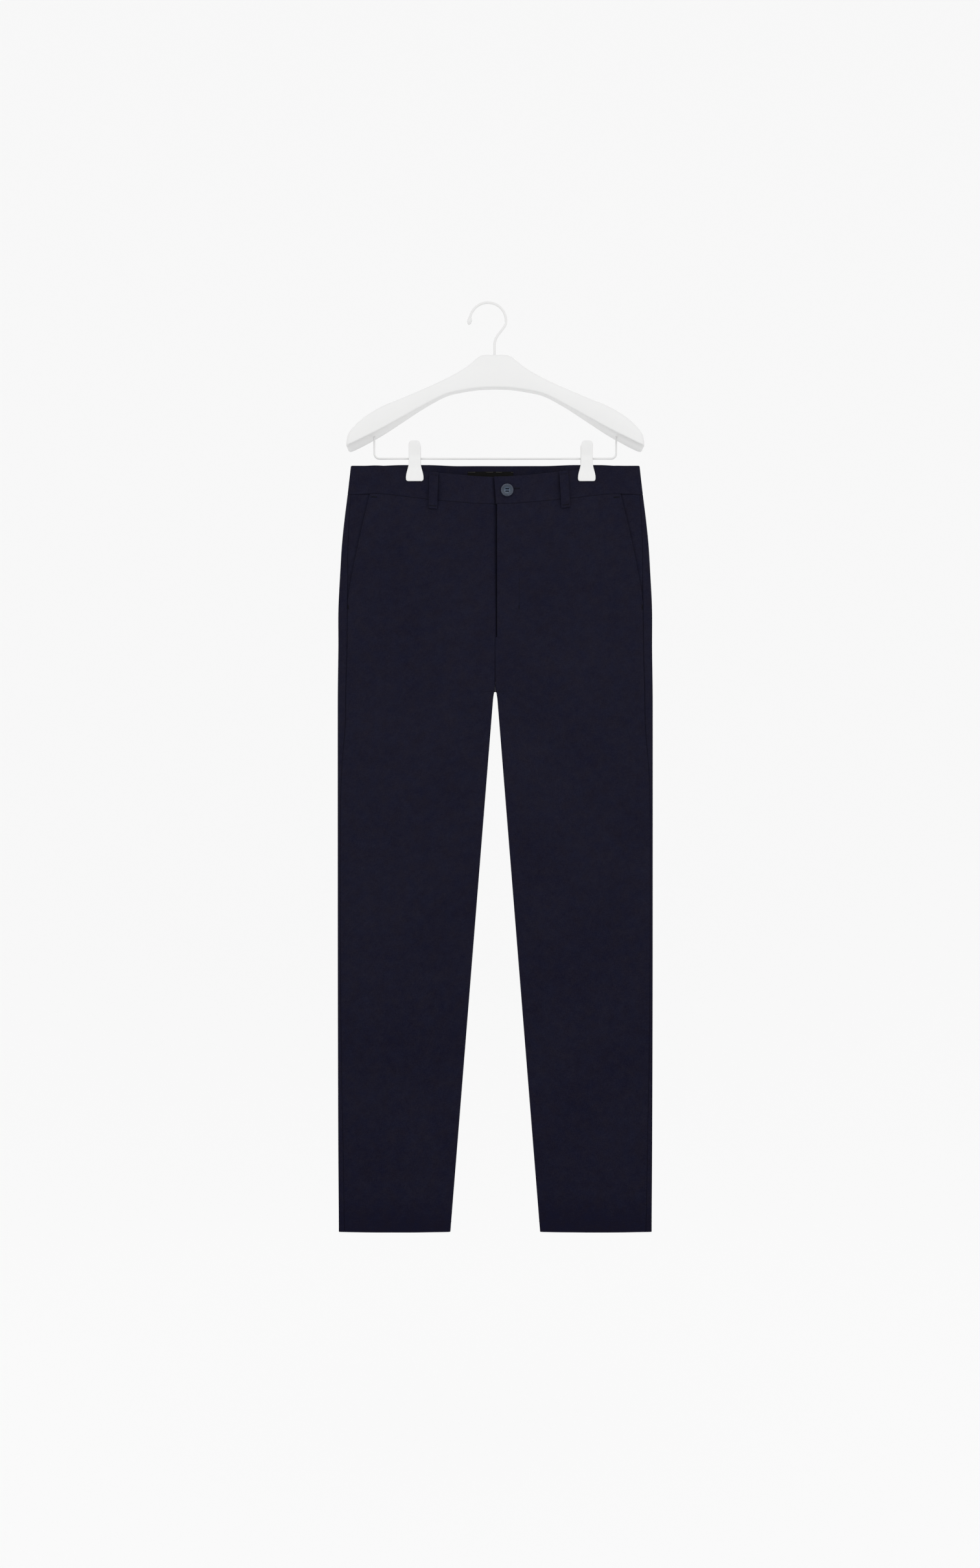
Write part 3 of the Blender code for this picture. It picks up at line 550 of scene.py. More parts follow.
def side_seam_depth(down):
    """The side seam lies deeper from the pocket's end to the thigh."""
    above, below = (smooth((down - start) / reach) for start, reach in SIDE_SEAM_LEVELS)
    return 1.0 + SIDE_SEAM_EXTRA * above * (1.0 - below)


def between(start, end, step):
    """Places from start up to, but without, end, about a step apart."""
    count = max(1, int(round((end - start) / step)))
    return [mix(start, end, k / count) for k in range(count)]


def row_places(*keys):
    return np.array(sorted({round(float(k), 6) for k in keys}))


# ---------------------------------------------------------------- columns of a panel

Column = namedtuple("Column", "face kind value")   # kind: inner_arc, flat or outer_arc
ARC = tuple(math.radians(angle) for angle in (0, 15, 30, 45, 60, 75, 90))
BESIDE_FOLD = 0.0015          # the flat columns end here, short of the fold


def flat_columns(face, start, end, first_offsets, last_offsets, count):
    """Columns from start to end, closer together near both."""
    near = [start + offset for offset in first_offsets]
    far = [end - offset for offset in last_offsets]
    inside = [mix(near[-1], far[-1], (k + 1) / (count + 1)) for k in range(count)]
    return [Column(face, "flat", x) for x in near + inside + far[::-1]]


def fold_columns():
    """Round the outer fold of a leg, from the back to the front."""
    return ([Column("back", "outer_arc", angle) for angle in reversed(ARC)]
            + [Column("front", "outer_arc", angle) for angle in ARC[1:]])


def column_x(column, downs, inset):
    """Distance of a column from the garment's middle."""
    if column.kind == "flat":
        return column.value + 0.0 * downs
    round_in = (FOLD_RADIUS - inset) * (1.0 - math.cos(column.value))
    if column.kind == "inner_arc":
        return leg_gap(downs) + inset * (1.0 - joined(downs)) + round_in
    return eased(SECTIONS, downs).half_width - inset - round_in


def spread(across, downs):
    """Places across and down of every point of a grid."""
    return np.broadcast_arrays(across[None, :], downs[:, None])


def places_across(columns, downs):
    """Distances of all columns from the garment's middle, row by row."""
    return np.stack([column_x(column, downs, 0.0 * downs) for column in columns], axis=1)


def sheet_points(columns, side, downs, inset, sink=None, shift=None):
    """Grid of points on the cloth: inset from its surface, sunk into it and shifted across."""
    grid = np.empty((len(downs), len(columns), 3))
    sink, shift = (np.zeros_like(inset) if given is None else given for given in (sink, shift))
    for j, column in enumerate(columns):
        x = (column_x(column, downs, inset[:, j]) + shift[:, j]) * SIDES[side]
        depth = surface_depth(column.face, x, downs, inset[:, j], sink[:, j])
        grid[:, j] = place(column.face, x, depth, downs)
    return grid


def cloth_uv(grid, downs):
    """Distances along the cloth, across and down, in metres."""
    steps = np.linalg.norm(np.diff(grid[:, :, :2], axis=1), axis=2)
    across = np.concatenate((np.zeros((len(grid), 1)), np.cumsum(steps, axis=1)), axis=1)
    middle = grid.shape[1] // 2
    across = across - across[:, middle:middle + 1] + grid[:, middle:middle + 1, 0]
    return np.stack((across, np.broadcast_to(-downs[:, None], across.shape)), axis=-1)


# ---------------------------------------------------------------- meshes

def new_object(name, mesh):
    obj = bpy.data.objects.new(name, mesh)
    bpy.context.scene.collection.objects.link(obj)
    return obj


def finish_piece(obj, material, *nodes, slot=None, sharp=50):
    """Shading, material, the CAD nodes it stands for, and the body that it rides on."""
    mesh = obj.data
    mesh.shade_smooth()
    mesh.set_sharp_from_angle(angle=math.radians(sharp))
    mesh.materials.clear()
    mesh.materials.append(material)
    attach(obj, "root")
    if nodes:
        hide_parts(*nodes)
    return obj


def grid_faces(rows, columns, start=0):
    corner = np.arange((rows - 1) * columns).reshape(rows - 1, columns)[:, :-1].ravel() + start
    return np.stack((corner, corner + 1, corner + columns + 1, corner + columns), axis=1)


def rim_indices(rows, columns):
    """The border of a grid, once round."""
    index = np.arange(rows * columns).reshape(rows, columns)
    return np.concatenate((index[0], index[1:-1, -1], index[-1, ::-1], index[1:-1, 0][::-1]))


def shell_mesh(name, outer, inner, uv):
    """Closed wall between two grids of points with the same rows and columns."""
    rows, columns = outer.shape[:2]
    points = np.concatenate((outer.reshape(-1, 3), inner.reshape(-1, 3)))
    count = rows * columns
    rim = rim_indices(rows, columns)
    after = np.roll(rim, -1)
    faces = np.concatenate((
        grid_faces(rows, columns),
        grid_faces(rows, columns, count)[:, ::-1],
        np.stack((after, rim, rim + count, after + count), axis=1),
    ))
    a, b, c, d = (points[faces[:, k]] for k in range(4))
    volume = np.einsum("ij,ij->i", a, np.cross(b, c) + np.cross(c, d)).sum()
    if volume < 0:
        faces = faces[:, ::-1]
    mesh = bpy.data.meshes.new(name)
    mesh.from_pydata(points.tolist(), [], faces.tolist())
    layer = mesh.uv_layers.new(name="cloth")
    flat = np.concatenate((uv.reshape(-1, 2), uv.reshape(-1, 2)))
    layer.data.foreach_set("uv", flat[faces.ravel()].astype(np.float32).ravel())
    mesh.update()
    return mesh


def loft_mesh(name, rings):
    """Closed body through rings of points, with a fan over each end."""
    rings = np.asarray(rings)
    count, around = rings.shape[:2]
    points = np.concatenate((rings.reshape(-1, 3), [rings[0].mean(axis=0), rings[-1].mean(axis=0)]))
    faces = []
    for r in range(count - 1):
        for k in range(around):
            after = (k + 1) % around
            low, high = r * around, (r + 1) * around
            faces.append((low + k, low + after, high + after, high + k))
    for k in range(around):
        after = (k + 1) % around
        last = (count - 1) * around
        faces.append((after, k, count * around))
        faces.append((last + k, last + after, count * around + 1))
    mesh = bpy.data.meshes.new(name)
    mesh.from_pydata(points.tolist(), [], faces)
    bm = bmesh.new()
    bm.from_mesh(mesh)
    bmesh.ops.recalc_face_normals(bm, faces=bm.faces[:])
    bm.to_mesh(mesh)
    bm.free()
    return mesh


def lofted(name, rings, *finish, **details):
    """A closed body through rings, finished as finish_piece says."""
    return finish_piece(new_object(name, loft_mesh(name, rings)), *finish, **details)


def as_plain_mesh(obj):
    """The mesh that an object's modifiers make of it."""
    depsgraph = bpy.context.evaluated_depsgraph_get()
    return bpy.data.meshes.new_from_object(obj.evaluated_get(depsgraph), depsgraph=depsgraph)


def declare_cloth(outer):
    """Works out the area of a piece's outer face, and keeps nothing of it."""
    a, b, c, d = outer[:-1, :-1], outer[:-1, 1:], outer[1:, 1:], outer[1:, :-1]
    area = float(np.linalg.norm(np.cross(c - a, d - b), axis=2).sum() / 2)


BOTH_BANDS = ["waistband_cloth_left", "waistband_cloth_right"]


def cloth_piece(name, node, outer, inner, downs, rests_on, held="hung", finish="twill",
                slot="navy_cloth"):
    """A sheet of cloth between two grids of points, with its material."""
    obj = new_object(name, shell_mesh(name, outer, inner, cloth_uv(outer, downs)))
    finish_piece(obj, MATERIALS[finish], node, slot=slot)
    declare_cloth(outer)


# ---------------------------------------------------------------- shaders

class Value:
    """A socket that takes part in Python arithmetic."""

    def __init__(self, nodes, socket):
        self.nodes = nodes
        self.socket = socket

    def maths(self, operation, *values):
        return self.nodes.node("ShaderNodeMath", {"operation": operation}, values)

    def __add__(self, other):
        return self.maths("ADD", self, other)

    __radd__ = __add__

    def __sub__(self, other):
        return self.maths("SUBTRACT", self, other)

    def __rsub__(self, other):
        return self.maths("SUBTRACT", other, self)

    def __mul__(self, other):
        return self.maths("MULTIPLY", self, other)

    __rmul__ = __mul__

    def __pow__(self, other):
        return self.maths("POWER", self, other)


class Nodes:
    """A node tree, built up from sockets wrapped as Values."""

    def node(self, kind, settings=None, values=(), output=0):
        """A node of any type: its settings first, then values or links of its sockets."""
        node = self.tree.nodes.new(kind)
        for name, setting in (settings or {}).items():
            setattr(node, name, setting)
        for socket, value in values.items() if isinstance(values, dict) else enumerate(values):
            self.feed(node.inputs[socket], value)
        return Value(self, node.outputs[output])

    def feed(self, socket, value):
        if isinstance(value, Value):
            self.tree.links.new(value.socket, socket)
        else:
            socket.default_value = value


class Finish(Nodes):
    """A material with one Principled shader."""

    def __init__(self, name, **constants):
        self.material = bpy.data.materials.new(name)
        self.material.use_nodes = True
        self.tree = self.material.node_tree
        self.shader = self.tree.nodes["Principled BSDF"]
        for socket, value in constants.items():
            self.shader.inputs[socket.replace("_", " ")].default_value = value

    def set(self, socket, value):
        self.feed(self.shader.inputs[socket], value)

    def place(self):
        """Object coordinates, in metres."""
        return self.node("ShaderNodeTexCoord", output="Object")

    def along_cloth(self):
        """Distances along the cloth, in metres."""
        return self.node("ShaderNodeUVMap", {"uv_map": "cloth"})

    def parts(self, vector):
        separate = self.node("ShaderNodeSeparateXYZ", None, (vector,)).socket.node
        return tuple(Value(self, output) for output in separate.outputs)

    def stretched(self, vector, scale):
        return self.node("ShaderNodeMapping", None, {"Vector": vector, "Scale": scale})

    def noise(self, vector, per_metre, detail=2.0, roughness=0.5, distortion=0.0):
        values = {"Vector": vector, "Scale": per_metre, "Detail": detail,
                  "Roughness": roughness, "Distortion": distortion}
        return self.node("ShaderNodeTexNoise", {"noise_dimensions": "3D"}, values, "Fac")

    def blend(self, share, first, second):
        """Mix of two colours."""
        return self.node("ShaderNodeMix", {"data_type": "RGBA", "clamp_factor": True},
                         {0: share, 6: first, 7: second}, 2)

    def bump(self, height, distance, strength=1.0):
        values = {"Strength": strength, "Distance": distance, "Height": height}
        self.set("Normal", self.node("ShaderNodeBump", None, values))


def sine(value):
    return value.maths("SINE", value)


def clamp(value):
    return value.nodes.node("ShaderNodeClamp", None, {"Value": value})


def between_levels(value, low, high):
    """0 below low, 1 above high, eased between."""
    values = {"Value": value, "From Min": low, "From Max": high}
    return value.nodes.node("ShaderNodeMapRange", {"interpolation_type": "SMOOTHSTEP"}, values)


# a more violet and a bluer shade of each
NAVY_DARK = ((0.0048, 0.0039, 0.0116, 1.0), (0.0040, 0.0039, 0.0140, 1.0))
NAVY_LIGHT = ((0.0128, 0.0118, 0.0210, 1.0), (0.0116, 0.0118, 0.0238, 1.0))
TAPE_DARK = ((0.0060, 0.0058, 0.0115, 1.0), (0.0056, 0.0058, 0.0125, 1.0))
TAPE_LIGHT = ((0.0105, 0.0100, 0.0180, 1.0), (0.0100, 0.0100, 0.0195, 1.0))
THREAD_NAVY = (0.0058, 0.0056, 0.0125, 1.0)
THREAD_DARK = (0.0022, 0.0022, 0.0045, 1.0)

TWILL_PITCH = 0.00075        # from one diagonal rib of the twill to the next
TWILL_RISE = math.radians(60)
FALLOFF_SHADE_FROM = 0.35           # painted shade: the legs are painted a little darker from here down to the hem, where less light reaches them
HEM_SHADE_HEIGHT = 0.060       # strip above the hem painted darker still: painted shade along the hem


def twill_finish(name, dark, light):
    """Fine cotton twill: steep ribs, uneven yarns, a dye that drifts from violet to blue, and
    painted shade that darkens the legs towards the hem.
    """
    finish = Finish(name, Roughness=0.86, Specular_IOR_Level=0.08)
    cloth = finish.along_cloth()
    across, up, _ = finish.parts(cloth)
    wander = finish.noise(cloth, 420.0, 1.0)
    diagonal = across * math.sin(TWILL_RISE) - up * math.cos(TWILL_RISE)
    ribs = sine(diagonal * (2 * math.pi / TWILL_PITCH) + wander * 2.6)
    grain = finish.noise(cloth, 480.0, 1.0, 1.0)
    warp = finish.noise(finish.stretched(cloth, (800.0, 170.0, 1.0)), 1.0, 1.0, 0.8)
    weft = finish.noise(finish.stretched(cloth, (170.0, 800.0, 1.0)), 1.0, 1.0, 0.8)
    yarns = (warp + weft) * 0.5
    clouds = finish.noise(cloth, 64.0, 2.0, 0.9)
    drift = finish.noise(cloth, 9.0, 2.0, 0.5)
    # painted shade: the legs darken towards the hem as the light falls off
    deeper = between_levels(0.0 - up, FALLOFF_SHADE_FROM, HEM)
    # painted shade: a strip above the hem painted darker still
    hem_shade = between_levels(0.0 - up, HEM - HEM_SHADE_HEIGHT, HEM + 0.004)
    tone = clamp(0.5 + ribs * 0.03 + (grain - 0.5) * 0.85 + (yarns - 0.5) * 1.05
                 + (clouds - 0.5) * 0.8 + (drift - 0.5) * 0.5 - deeper * 0.24 - hem_shade * 0.36)
    dye = clamp(0.5 + (finish.noise(cloth, 52.0, 2.0, 0.7) - 0.5) * 2.8)
    darker = finish.blend(dye, dark[0], dark[1])
    lighter = finish.blend(dye, light[0], light[1])
    finish.set("Base Color", finish.blend(tone, darker, lighter))
    finish.set("Roughness", 0.80 + grain * 0.14)
    finish.bump(ribs * 0.22 + grain * 0.7 + yarns * 1.3, 0.00016, 0.45)
    return finish.material


def speckled_finish(name, dark, light, roughness, change, relief, broad=None, fine=(1500.0, 2.0),
                    **constants):
    """One colour drifting into another, with a fine grain in its gloss and its surface."""
    finish = Finish(name, **constants)
    spot = finish.place()
    grain = finish.noise(spot, *fine)
    share = finish.noise(spot, *broad) if broad else grain
    finish.set("Base Color", finish.blend(share, dark, light))
    finish.set("Roughness", roughness + grain * change)
    finish.bump(grain, *relief)
    return finish.material


def thread_finish(name, colour):
    """Twisted polyester thread with a slight lustre."""
    lighter = tuple(min(1.0, c * 1.7) for c in colour[:3]) + (1.0,)
    return speckled_finish(name, colour, lighter, 0.62, 0.15, (0.00006, 0.5), fine=(2600.0, 2.0),
                           Specular_IOR_Level=0.12)


def lacquer_finish():
    """White satin lacquer over wood: very slightly uneven, a shade greyer in broad patches."""
    finish = Finish("white_lacquer", Specular_IOR_Level=0.40, Coat_Weight=0.12, Coat_Roughness=0.22)
    spot = finish.place()
    patches = finish.noise(spot, 14.0, 3.0, 0.6)
    peel = finish.noise(spot, 620.0, 2.0, 0.5)
    grain = finish.noise(finish.stretched(spot, (18.0, 180.0, 270.0)), 1.0, 3.0, 0.55)
    finish.set("Base Color",
               finish.blend(patches, (0.760, 0.760, 0.756, 1.0), (0.792, 0.792, 0.790, 1.0)))
    finish.set("Roughness", 0.36 + patches * 0.10)
    finish.bump(peel * 0.35 + grain * 0.5, 0.00010, 0.35)
    return finish.material


def moulded_finish():
    """Smooth white plastic of the clips."""
    finish = Finish("white_plastic", Specular_IOR_Level=0.45)
    spot = finish.place()
    mottle = finish.noise(spot, 90.0, 3.0, 0.6)
    fine = finish.noise(spot, 1500.0, 2.0, 0.5)
    finish.set("Base Color",
               finish.blend(mottle, (0.775, 0.775, 0.771, 1.0), (0.805, 0.805, 0.802, 1.0)))
    finish.set("Roughness", 0.28 + mottle * 0.10)
    finish.bump(fine * 0.5 + mottle * 0.5, 0.00005, 0.35)
    return finish.material


def powder_finish():
    """White powder coat on the wire, painted a shade greyer than the coat itself: painted shade
    that sets the hook off from the pale surround.
    """
    return speckled_finish("white_powder_coat", (0.740, 0.740, 0.736, 1.0),
                           (0.780, 0.780, 0.776, 1.0), 0.34, 0.12, (0.00006, 0.4),
                           broad=(60.0, 2.0, 0.5), fine=(1800.0, 2.0, 0.6),
                           Specular_IOR_Level=0.42)


BUTTON_RING = (0.0034, 0.0046)    # the radii between which the dark ring sets in, then the rim
BUTTON_RIM = (0.0064, 0.0076)


def button_finish():
    """Polished slate-blue polyester, smoky, with a greyer rim and a dark ring in the well."""
    finish = Finish("slate_button", Specular_IOR_Level=0.40, Coat_Weight=0.15, Coat_Roughness=0.16)
    spot = finish.place()
    across, _, up = finish.parts(spot)
    radius = ((across - BUTTON_X) ** 2 + (up - BUTTON_Z) ** 2) ** 0.5
    swirl = finish.noise(spot, 160.0, 4.0, 0.6, 2.2)
    fine = finish.noise(spot, 900.0, 3.0, 0.6)
    share = between_levels(swirl + (fine - 0.5) * 0.15, 0.30, 0.70)
    rim = between_levels(radius + (swirl - 0.5) * 0.0012, *BUTTON_RIM)
    ring = between_levels(radius, *BUTTON_RING) * (1.0 - rim)
    well = finish.blend(share, (0.030, 0.054, 0.098, 1.0), (0.068, 0.104, 0.166, 1.0))
    well = finish.blend(ring * 0.85, well, (0.008, 0.018, 0.034, 1.0))
    edge = finish.blend(share, (0.010, 0.017, 0.034, 1.0), (0.036, 0.045, 0.070, 1.0))
    finish.set("Base Color", finish.blend(rim, well, edge))
    finish.set("Roughness", 0.20 + fine * 0.12)
    finish.bump(fine, 0.00004, 0.3)
    return finish.material


RIBBON_PITCH = 0.00045       # from one pick of the label's ribbon to the next


def label_finish():
    """Bare black satin ribbon, woven across."""
    finish = Finish("black_ribbon", Specular_IOR_Level=0.08)
    cloth = finish.along_cloth()
    _, up, _ = finish.parts(cloth)
    ribs = sine(up * (2 * math.pi / RIBBON_PITCH))
    grain = finish.noise(cloth, 1200.0, 2.0, 0.6)
    finish.set("Base Color",
               finish.blend(grain, (0.0009, 0.0009, 0.0009, 1.0), (0.0034, 0.0032, 0.0031, 1.0)))
    finish.set("Roughness", 0.50 + grain * 0.2)
    finish.bump(ribs * 0.4 + grain * 0.6, 0.00010, 0.5)
    return finish.material


def coil_finish():
    """Dyed nylon of the zip's coil."""
    return speckled_finish("zip_coil", (0.0070, 0.0070, 0.0130, 1.0),
                           (0.0130, 0.0130, 0.0220, 1.0), 0.32, 0.15, (0.00004, 0.4),
                           Specular_IOR_Level=0.45)


MATERIALS = {
    "twill": twill_finish("navy_twill", NAVY_DARK, NAVY_LIGHT),
    "tape": twill_finish("zip_tape", TAPE_DARK, TAPE_LIGHT),
    "thread": thread_finish("navy_thread", THREAD_NAVY),
    "dark_thread": thread_finish("dark_thread", THREAD_DARK),
    "pale_thread": thread_finish("pale_thread", (0.16, 0.15, 0.14, 1.0)),
    "lacquer": lacquer_finish(),
    "plastic": moulded_finish(),
    "wire": powder_finish(),
    "button": button_finish(),
    "label": label_finish(),
    "coil": coil_finish(),
}


# ---------------------------------------------------------------- panels

EDGE_COLUMNS = (0.0, 0.0002, 0.0006, 0.0012, 0.0022, 0.0038, 0.0062, 0.0095)
RIDGE_COLUMNS = (0.0, 0.0016, 0.0032, 0.0048, 0.0062, 0.0078, 0.0100)
STEP_OFFSETS = (-0.0045, -0.0024, -0.0013, -0.0007, -0.0003, 0.0,
                0.0003, 0.0007, 0.0013, 0.0024, 0.0045)
WALL_STEP = 0.0012            # the wall grows thicker over this length at the hem's stitching
LEGS_APART = 0.0120           # sunk edges turn into inset ones over this length at the crotch


def panel_rows():
    """Heights of a panel's rows, closer together at its edges, the fly's end and the hem."""
    stitch = HEM - HEM_TURN
    rows = [PANEL_TOP + offset for offset in EDGE_COLUMNS]
    rows += between(PANEL_TOP + 0.013, FLY_END - 0.008, 0.0048)
    rows += [FLY_END + offset for offset in STEP_OFFSETS]
    rows += between(FLY_END + 0.008, CROTCH - 0.006, 0.0046)
    rows += between(CROTCH - 0.006, CROTCH + 0.012, 0.0014)
    rows += [CROTCH, CROTCH + 0.0004, CROTCH + 0.0010]
    rows += between(CROTCH + 0.012, stitch - 0.008, 0.0056)
    rows += [stitch + offset for offset in STEP_OFFSETS]
    rows += [HEM - offset for offset in FREE_OFFSETS if offset < 0.0098]
    return row_places(*rows)


def wall_at(downs):
    return mix(CLOTH, HEM_WALL, smooth((downs - HEM + HEM_TURN) / WALL_STEP))


def panel_insets(downs, to_inner, to_outer, free_inner, free_outer):
    """Outer inset, outer sink and inner inset of a panel from the distances to its edges."""
    wall = np.broadcast_to(wall_at(downs)[:, None], to_inner.shape)
    rows = downs[:, None] + 0.0 * to_inner
    turn = nose(HEM - rows, HEM_WALL)
    turn = np.maximum(turn, np.where(free_inner, nose(to_inner, CLOTH), 0.0))
    turn = np.maximum(turn, np.where(free_outer, nose(to_outer, CLOTH), 0.0))
    roll = seam_roll(rows - PANEL_TOP)
    roll = np.maximum(roll, np.where(free_inner, 0.0, seam_roll(to_inner)))
    side = seam_roll(to_outer, side_seam_depth(downs)[:, None])
    roll = np.maximum(roll, np.where(free_outer, 0.0, side))
    apart = smooth((downs - CROTCH) / LEGS_APART)[:, None]
    return np.maximum(turn, roll * apart), roll * (1.0 - apart), wall - turn


FLY_EDGE = {"left": 0.0024, "right": 0.0019}   # both free edges lie to the left of the centre seam
FLY_EDGE_REACH = 0.0160
FLY_CLOSED = 0.0022           # the opening starts to close this far above its end
FLY_CLOSING = 0.0018          # and closes over this length
FLY_DIVE = 0.0026             # the right one bends down under the left one
FLY_DIVE_FROM = (-0.0044, -0.0008)   # where the bend starts, at the top and at the fly's end
FLY_DIVE_PAST = 0.0006


def fly_level(down):
    """1 along the opening, 0 below its end."""
    return 1.0 - smooth((down - FLY_END + FLY_CLOSED) / FLY_CLOSING)


def fly_shift(side, x, down):
    """How far a front's free edge lies beside the centre seam, fading into the panel."""
    near = smooth(1.0 - (x - leg_gap(down)) / FLY_EDGE_REACH)
    return FLY_EDGE[side] * SIDES[side] * fly_level(down) * near


def fly_dive(grid, downs):
    """How far the right front lies lower than the plain form near its edge."""
    x = grid[..., 0] - MIDDLE_X
    down = downs[:, None] + 0.0 * x
    beyond = np.where(x > 0.0, LAP_RISE + LAP_SINK, 0.0) * lap_level(x, down)
    start = mix(*FLY_DIVE_FROM, down / FLY_END)
    bend = smooth((x - start) / (FLY_EDGE["right"] - start + FLY_DIVE_PAST))
    return beyond + FLY_DIVE * fly_level(down) * bend


def front_grid(side):
    """Outer and inner points of a front panel."""
    downs = panel_rows()
    edge = front_edge(downs)
    columns = [Column("front", "inner_arc", angle) for angle in ARC[:-1]]
    columns += flat_columns("front", leg_gap(downs) + FOLD_RADIUS, edge, RIDGE_COLUMNS,
                            EDGE_COLUMNS, 42)
    x = places_across(columns, downs)
    rows = downs[:, None]
    fly, mouth = rows < FLY_END, rows < POCKET_END
    outer_inset, sink, inner_inset = panel_insets(
        downs, x - leg_gap(downs)[:, None], edge[:, None] - x, fly, mouth)
    shift = fly_shift(side, x, rows)
    outer = sheet_points(columns, side, downs, outer_inset, sink, shift)
    inner = sheet_points(columns, side, downs, inner_inset, None, shift)
    lift = mouth_gape(x, rows) * mouth
    for grid in (outer, inner):
        if side == "right":
            grid[..., 1] += fly_dive(grid, downs)
        grid[..., 1] -= lift
    return outer, inner, downs


STRIP_SHARES = (0.30, 0.55, 0.75, 0.88, 0.95, 1.0)   # from the fold to the side seam


def back_grid(side):
    """Outer and inner points of a back panel, round the outer fold to the front side seam."""
    downs = panel_rows()
    fold = eased(SECTIONS, downs).half_width - FOLD_RADIUS
    seam = side_seam(downs) + SEAM / 2
    columns = [Column("back", "inner_arc", angle) for angle in ARC[:-1]]
    columns += flat_columns("back", leg_gap(downs) + FOLD_RADIUS, fold - BESIDE_FOLD,
                            (0.0, 0.0025), (0.0, 0.0025), 48)
    columns += fold_columns()
    columns += [Column("front", "flat", mix(fold, seam, share)) for share in STRIP_SHARES]
    x = places_across(columns, downs)
    to_outer = np.full_like(x, FAR)
    to_outer[:, -len(STRIP_SHARES):] = x[:, -len(STRIP_SHARES):] - seam[:, None]
    outer_inset, sink, inner_inset = panel_insets(
        downs, x - leg_gap(downs)[:, None], to_outer, False, False)
    return (sheet_points(columns, side, downs, outer_inset, sink),
            sheet_points(columns, side, downs, inner_inset), downs)


PANELS = {}


def make_panels():
    for side in SIDES:
        for face, grid_of in (("front", front_grid), ("back", back_grid)):
            outer, inner, downs = grid_of(side)
            cloth_piece(f"{face}_panel_{side}", f"{face}_{side}", outer, inner, downs,
                        [f"waistband_cloth_{side}"])
            PANELS[face, side] = outer


# ---------------------------------------------------------------- waistband

BAND_ROWS = np.array([*FREE_OFFSETS, 0.0150, 0.0195, 0.0240, 0.0285, 0.0330,
                      *(BAND_HEIGHT - offset for offset in reversed(EDGE_COLUMNS))])
BAND_LEAN = (-0.0016, 0.0012)    # at the top and bottom of the band
BAND_LEAN_REACH = 0.0200
BAND_DIVE = 0.0025               # the right half bends down under the left one's end
BAND_DIVE_WIDTH = 0.0042
BAND_DIVE_COLUMNS = 40


def band_turns(downs, to_end):
    """Insets of the band's faces: a folded top edge and end, and a seam along the bottom."""
    rows = downs[:, None] + 0.0 * to_end
    turn = np.maximum(nose(rows, BAND_WALL), nose(to_end, BAND_WALL))
    return np.maximum(turn, seam_roll(BAND_HEIGHT - rows)), BAND_WALL - turn


def band_lean(x, down):
    """The buttoned band pulls its end over at the top."""
    return mix(*BAND_LEAN, down / BAND_HEIGHT) * smooth(1.0 - np.abs(x) / BAND_LEAN_REACH)


def band_grid(side):
    """Round the waist from the centre back to the centre front, and on behind the overlap."""
    downs = BAND_ROWS
    end = eased(SECTIONS, downs).half_width - FOLD_RADIUS - BESIDE_FOLD
    start = SEAM / 2 + 0.0 * downs
    columns = [Column("back", "flat", start)]
    columns += flat_columns("back", start, end, (0.0012, 0.0030), (0.0, 0.0025), 44)
    columns += fold_columns()
    ahead = len(columns)
    columns += flat_columns("front", start, end, EDGE_COLUMNS, (0.0, 0.0025), 44)[::-1]
    x = places_across(columns, downs)
    to_end = np.full_like(x, FAR)
    if side == "left":
        to_end[:, ahead:] = x[:, ahead:] - SEAM / 2
    insets = band_turns(downs, to_end)
    outer, inner = (sheet_points(columns, side, downs, inset) for inset in insets)
    if side == "right":
        outer = add_underlap(outer, downs, 0.0)
        inner = add_underlap(inner, downs, BAND_WALL)
    for grid in (outer, inner):
        if side == "right":
            last = grid[:, -BAND_DIVE_COLUMNS:]
            beside = np.abs(last[..., 0] - MIDDLE_X) / BAND_DIVE_WIDTH
            last[..., 1] += BAND_DIVE * smooth(1.0 - beside)
        grid[:, ahead:, 0] += band_lean(grid[:, ahead:, 0] - MIDDLE_X, downs[:, None])
    return outer, inner, downs


def add_underlap(grid, downs, inset):
    """The right half's extension, behind the left half."""
    x, rows = spread(np.linspace(0.0012, UNDERLAP, 10), downs)
    turn = np.maximum(nose(rows, BAND_WALL), nose(UNDERLAP - x, BAND_WALL))
    turn = turn if inset == 0.0 else -turn
    depth = plain_depth("front", x, rows) + lap(x, rows) - BAND_WALL - GAP - inset - turn
    return np.concatenate((grid, place("front", x, depth, rows)), axis=1)


def make_waistband():
    for side in SIDES:
        cloth_piece(f"waistband_cloth_{side}", f"waistband_{side}", *band_grid(side),
                    [f"clip_{side}_front", f"clip_{side}_back"])


# ---------------------------------------------------------------- pockets, fly and label

FACING_SHARES = np.array((0.0, 0.04, 0.08, 0.13, 0.20, 0.36, 0.50, 0.64, 0.78, 0.88, 0.95, 1.0))
FACING_HIDDEN = (0.0210, 0.0140, 0.0070)   # behind the panel, inwards of the mouth's edge


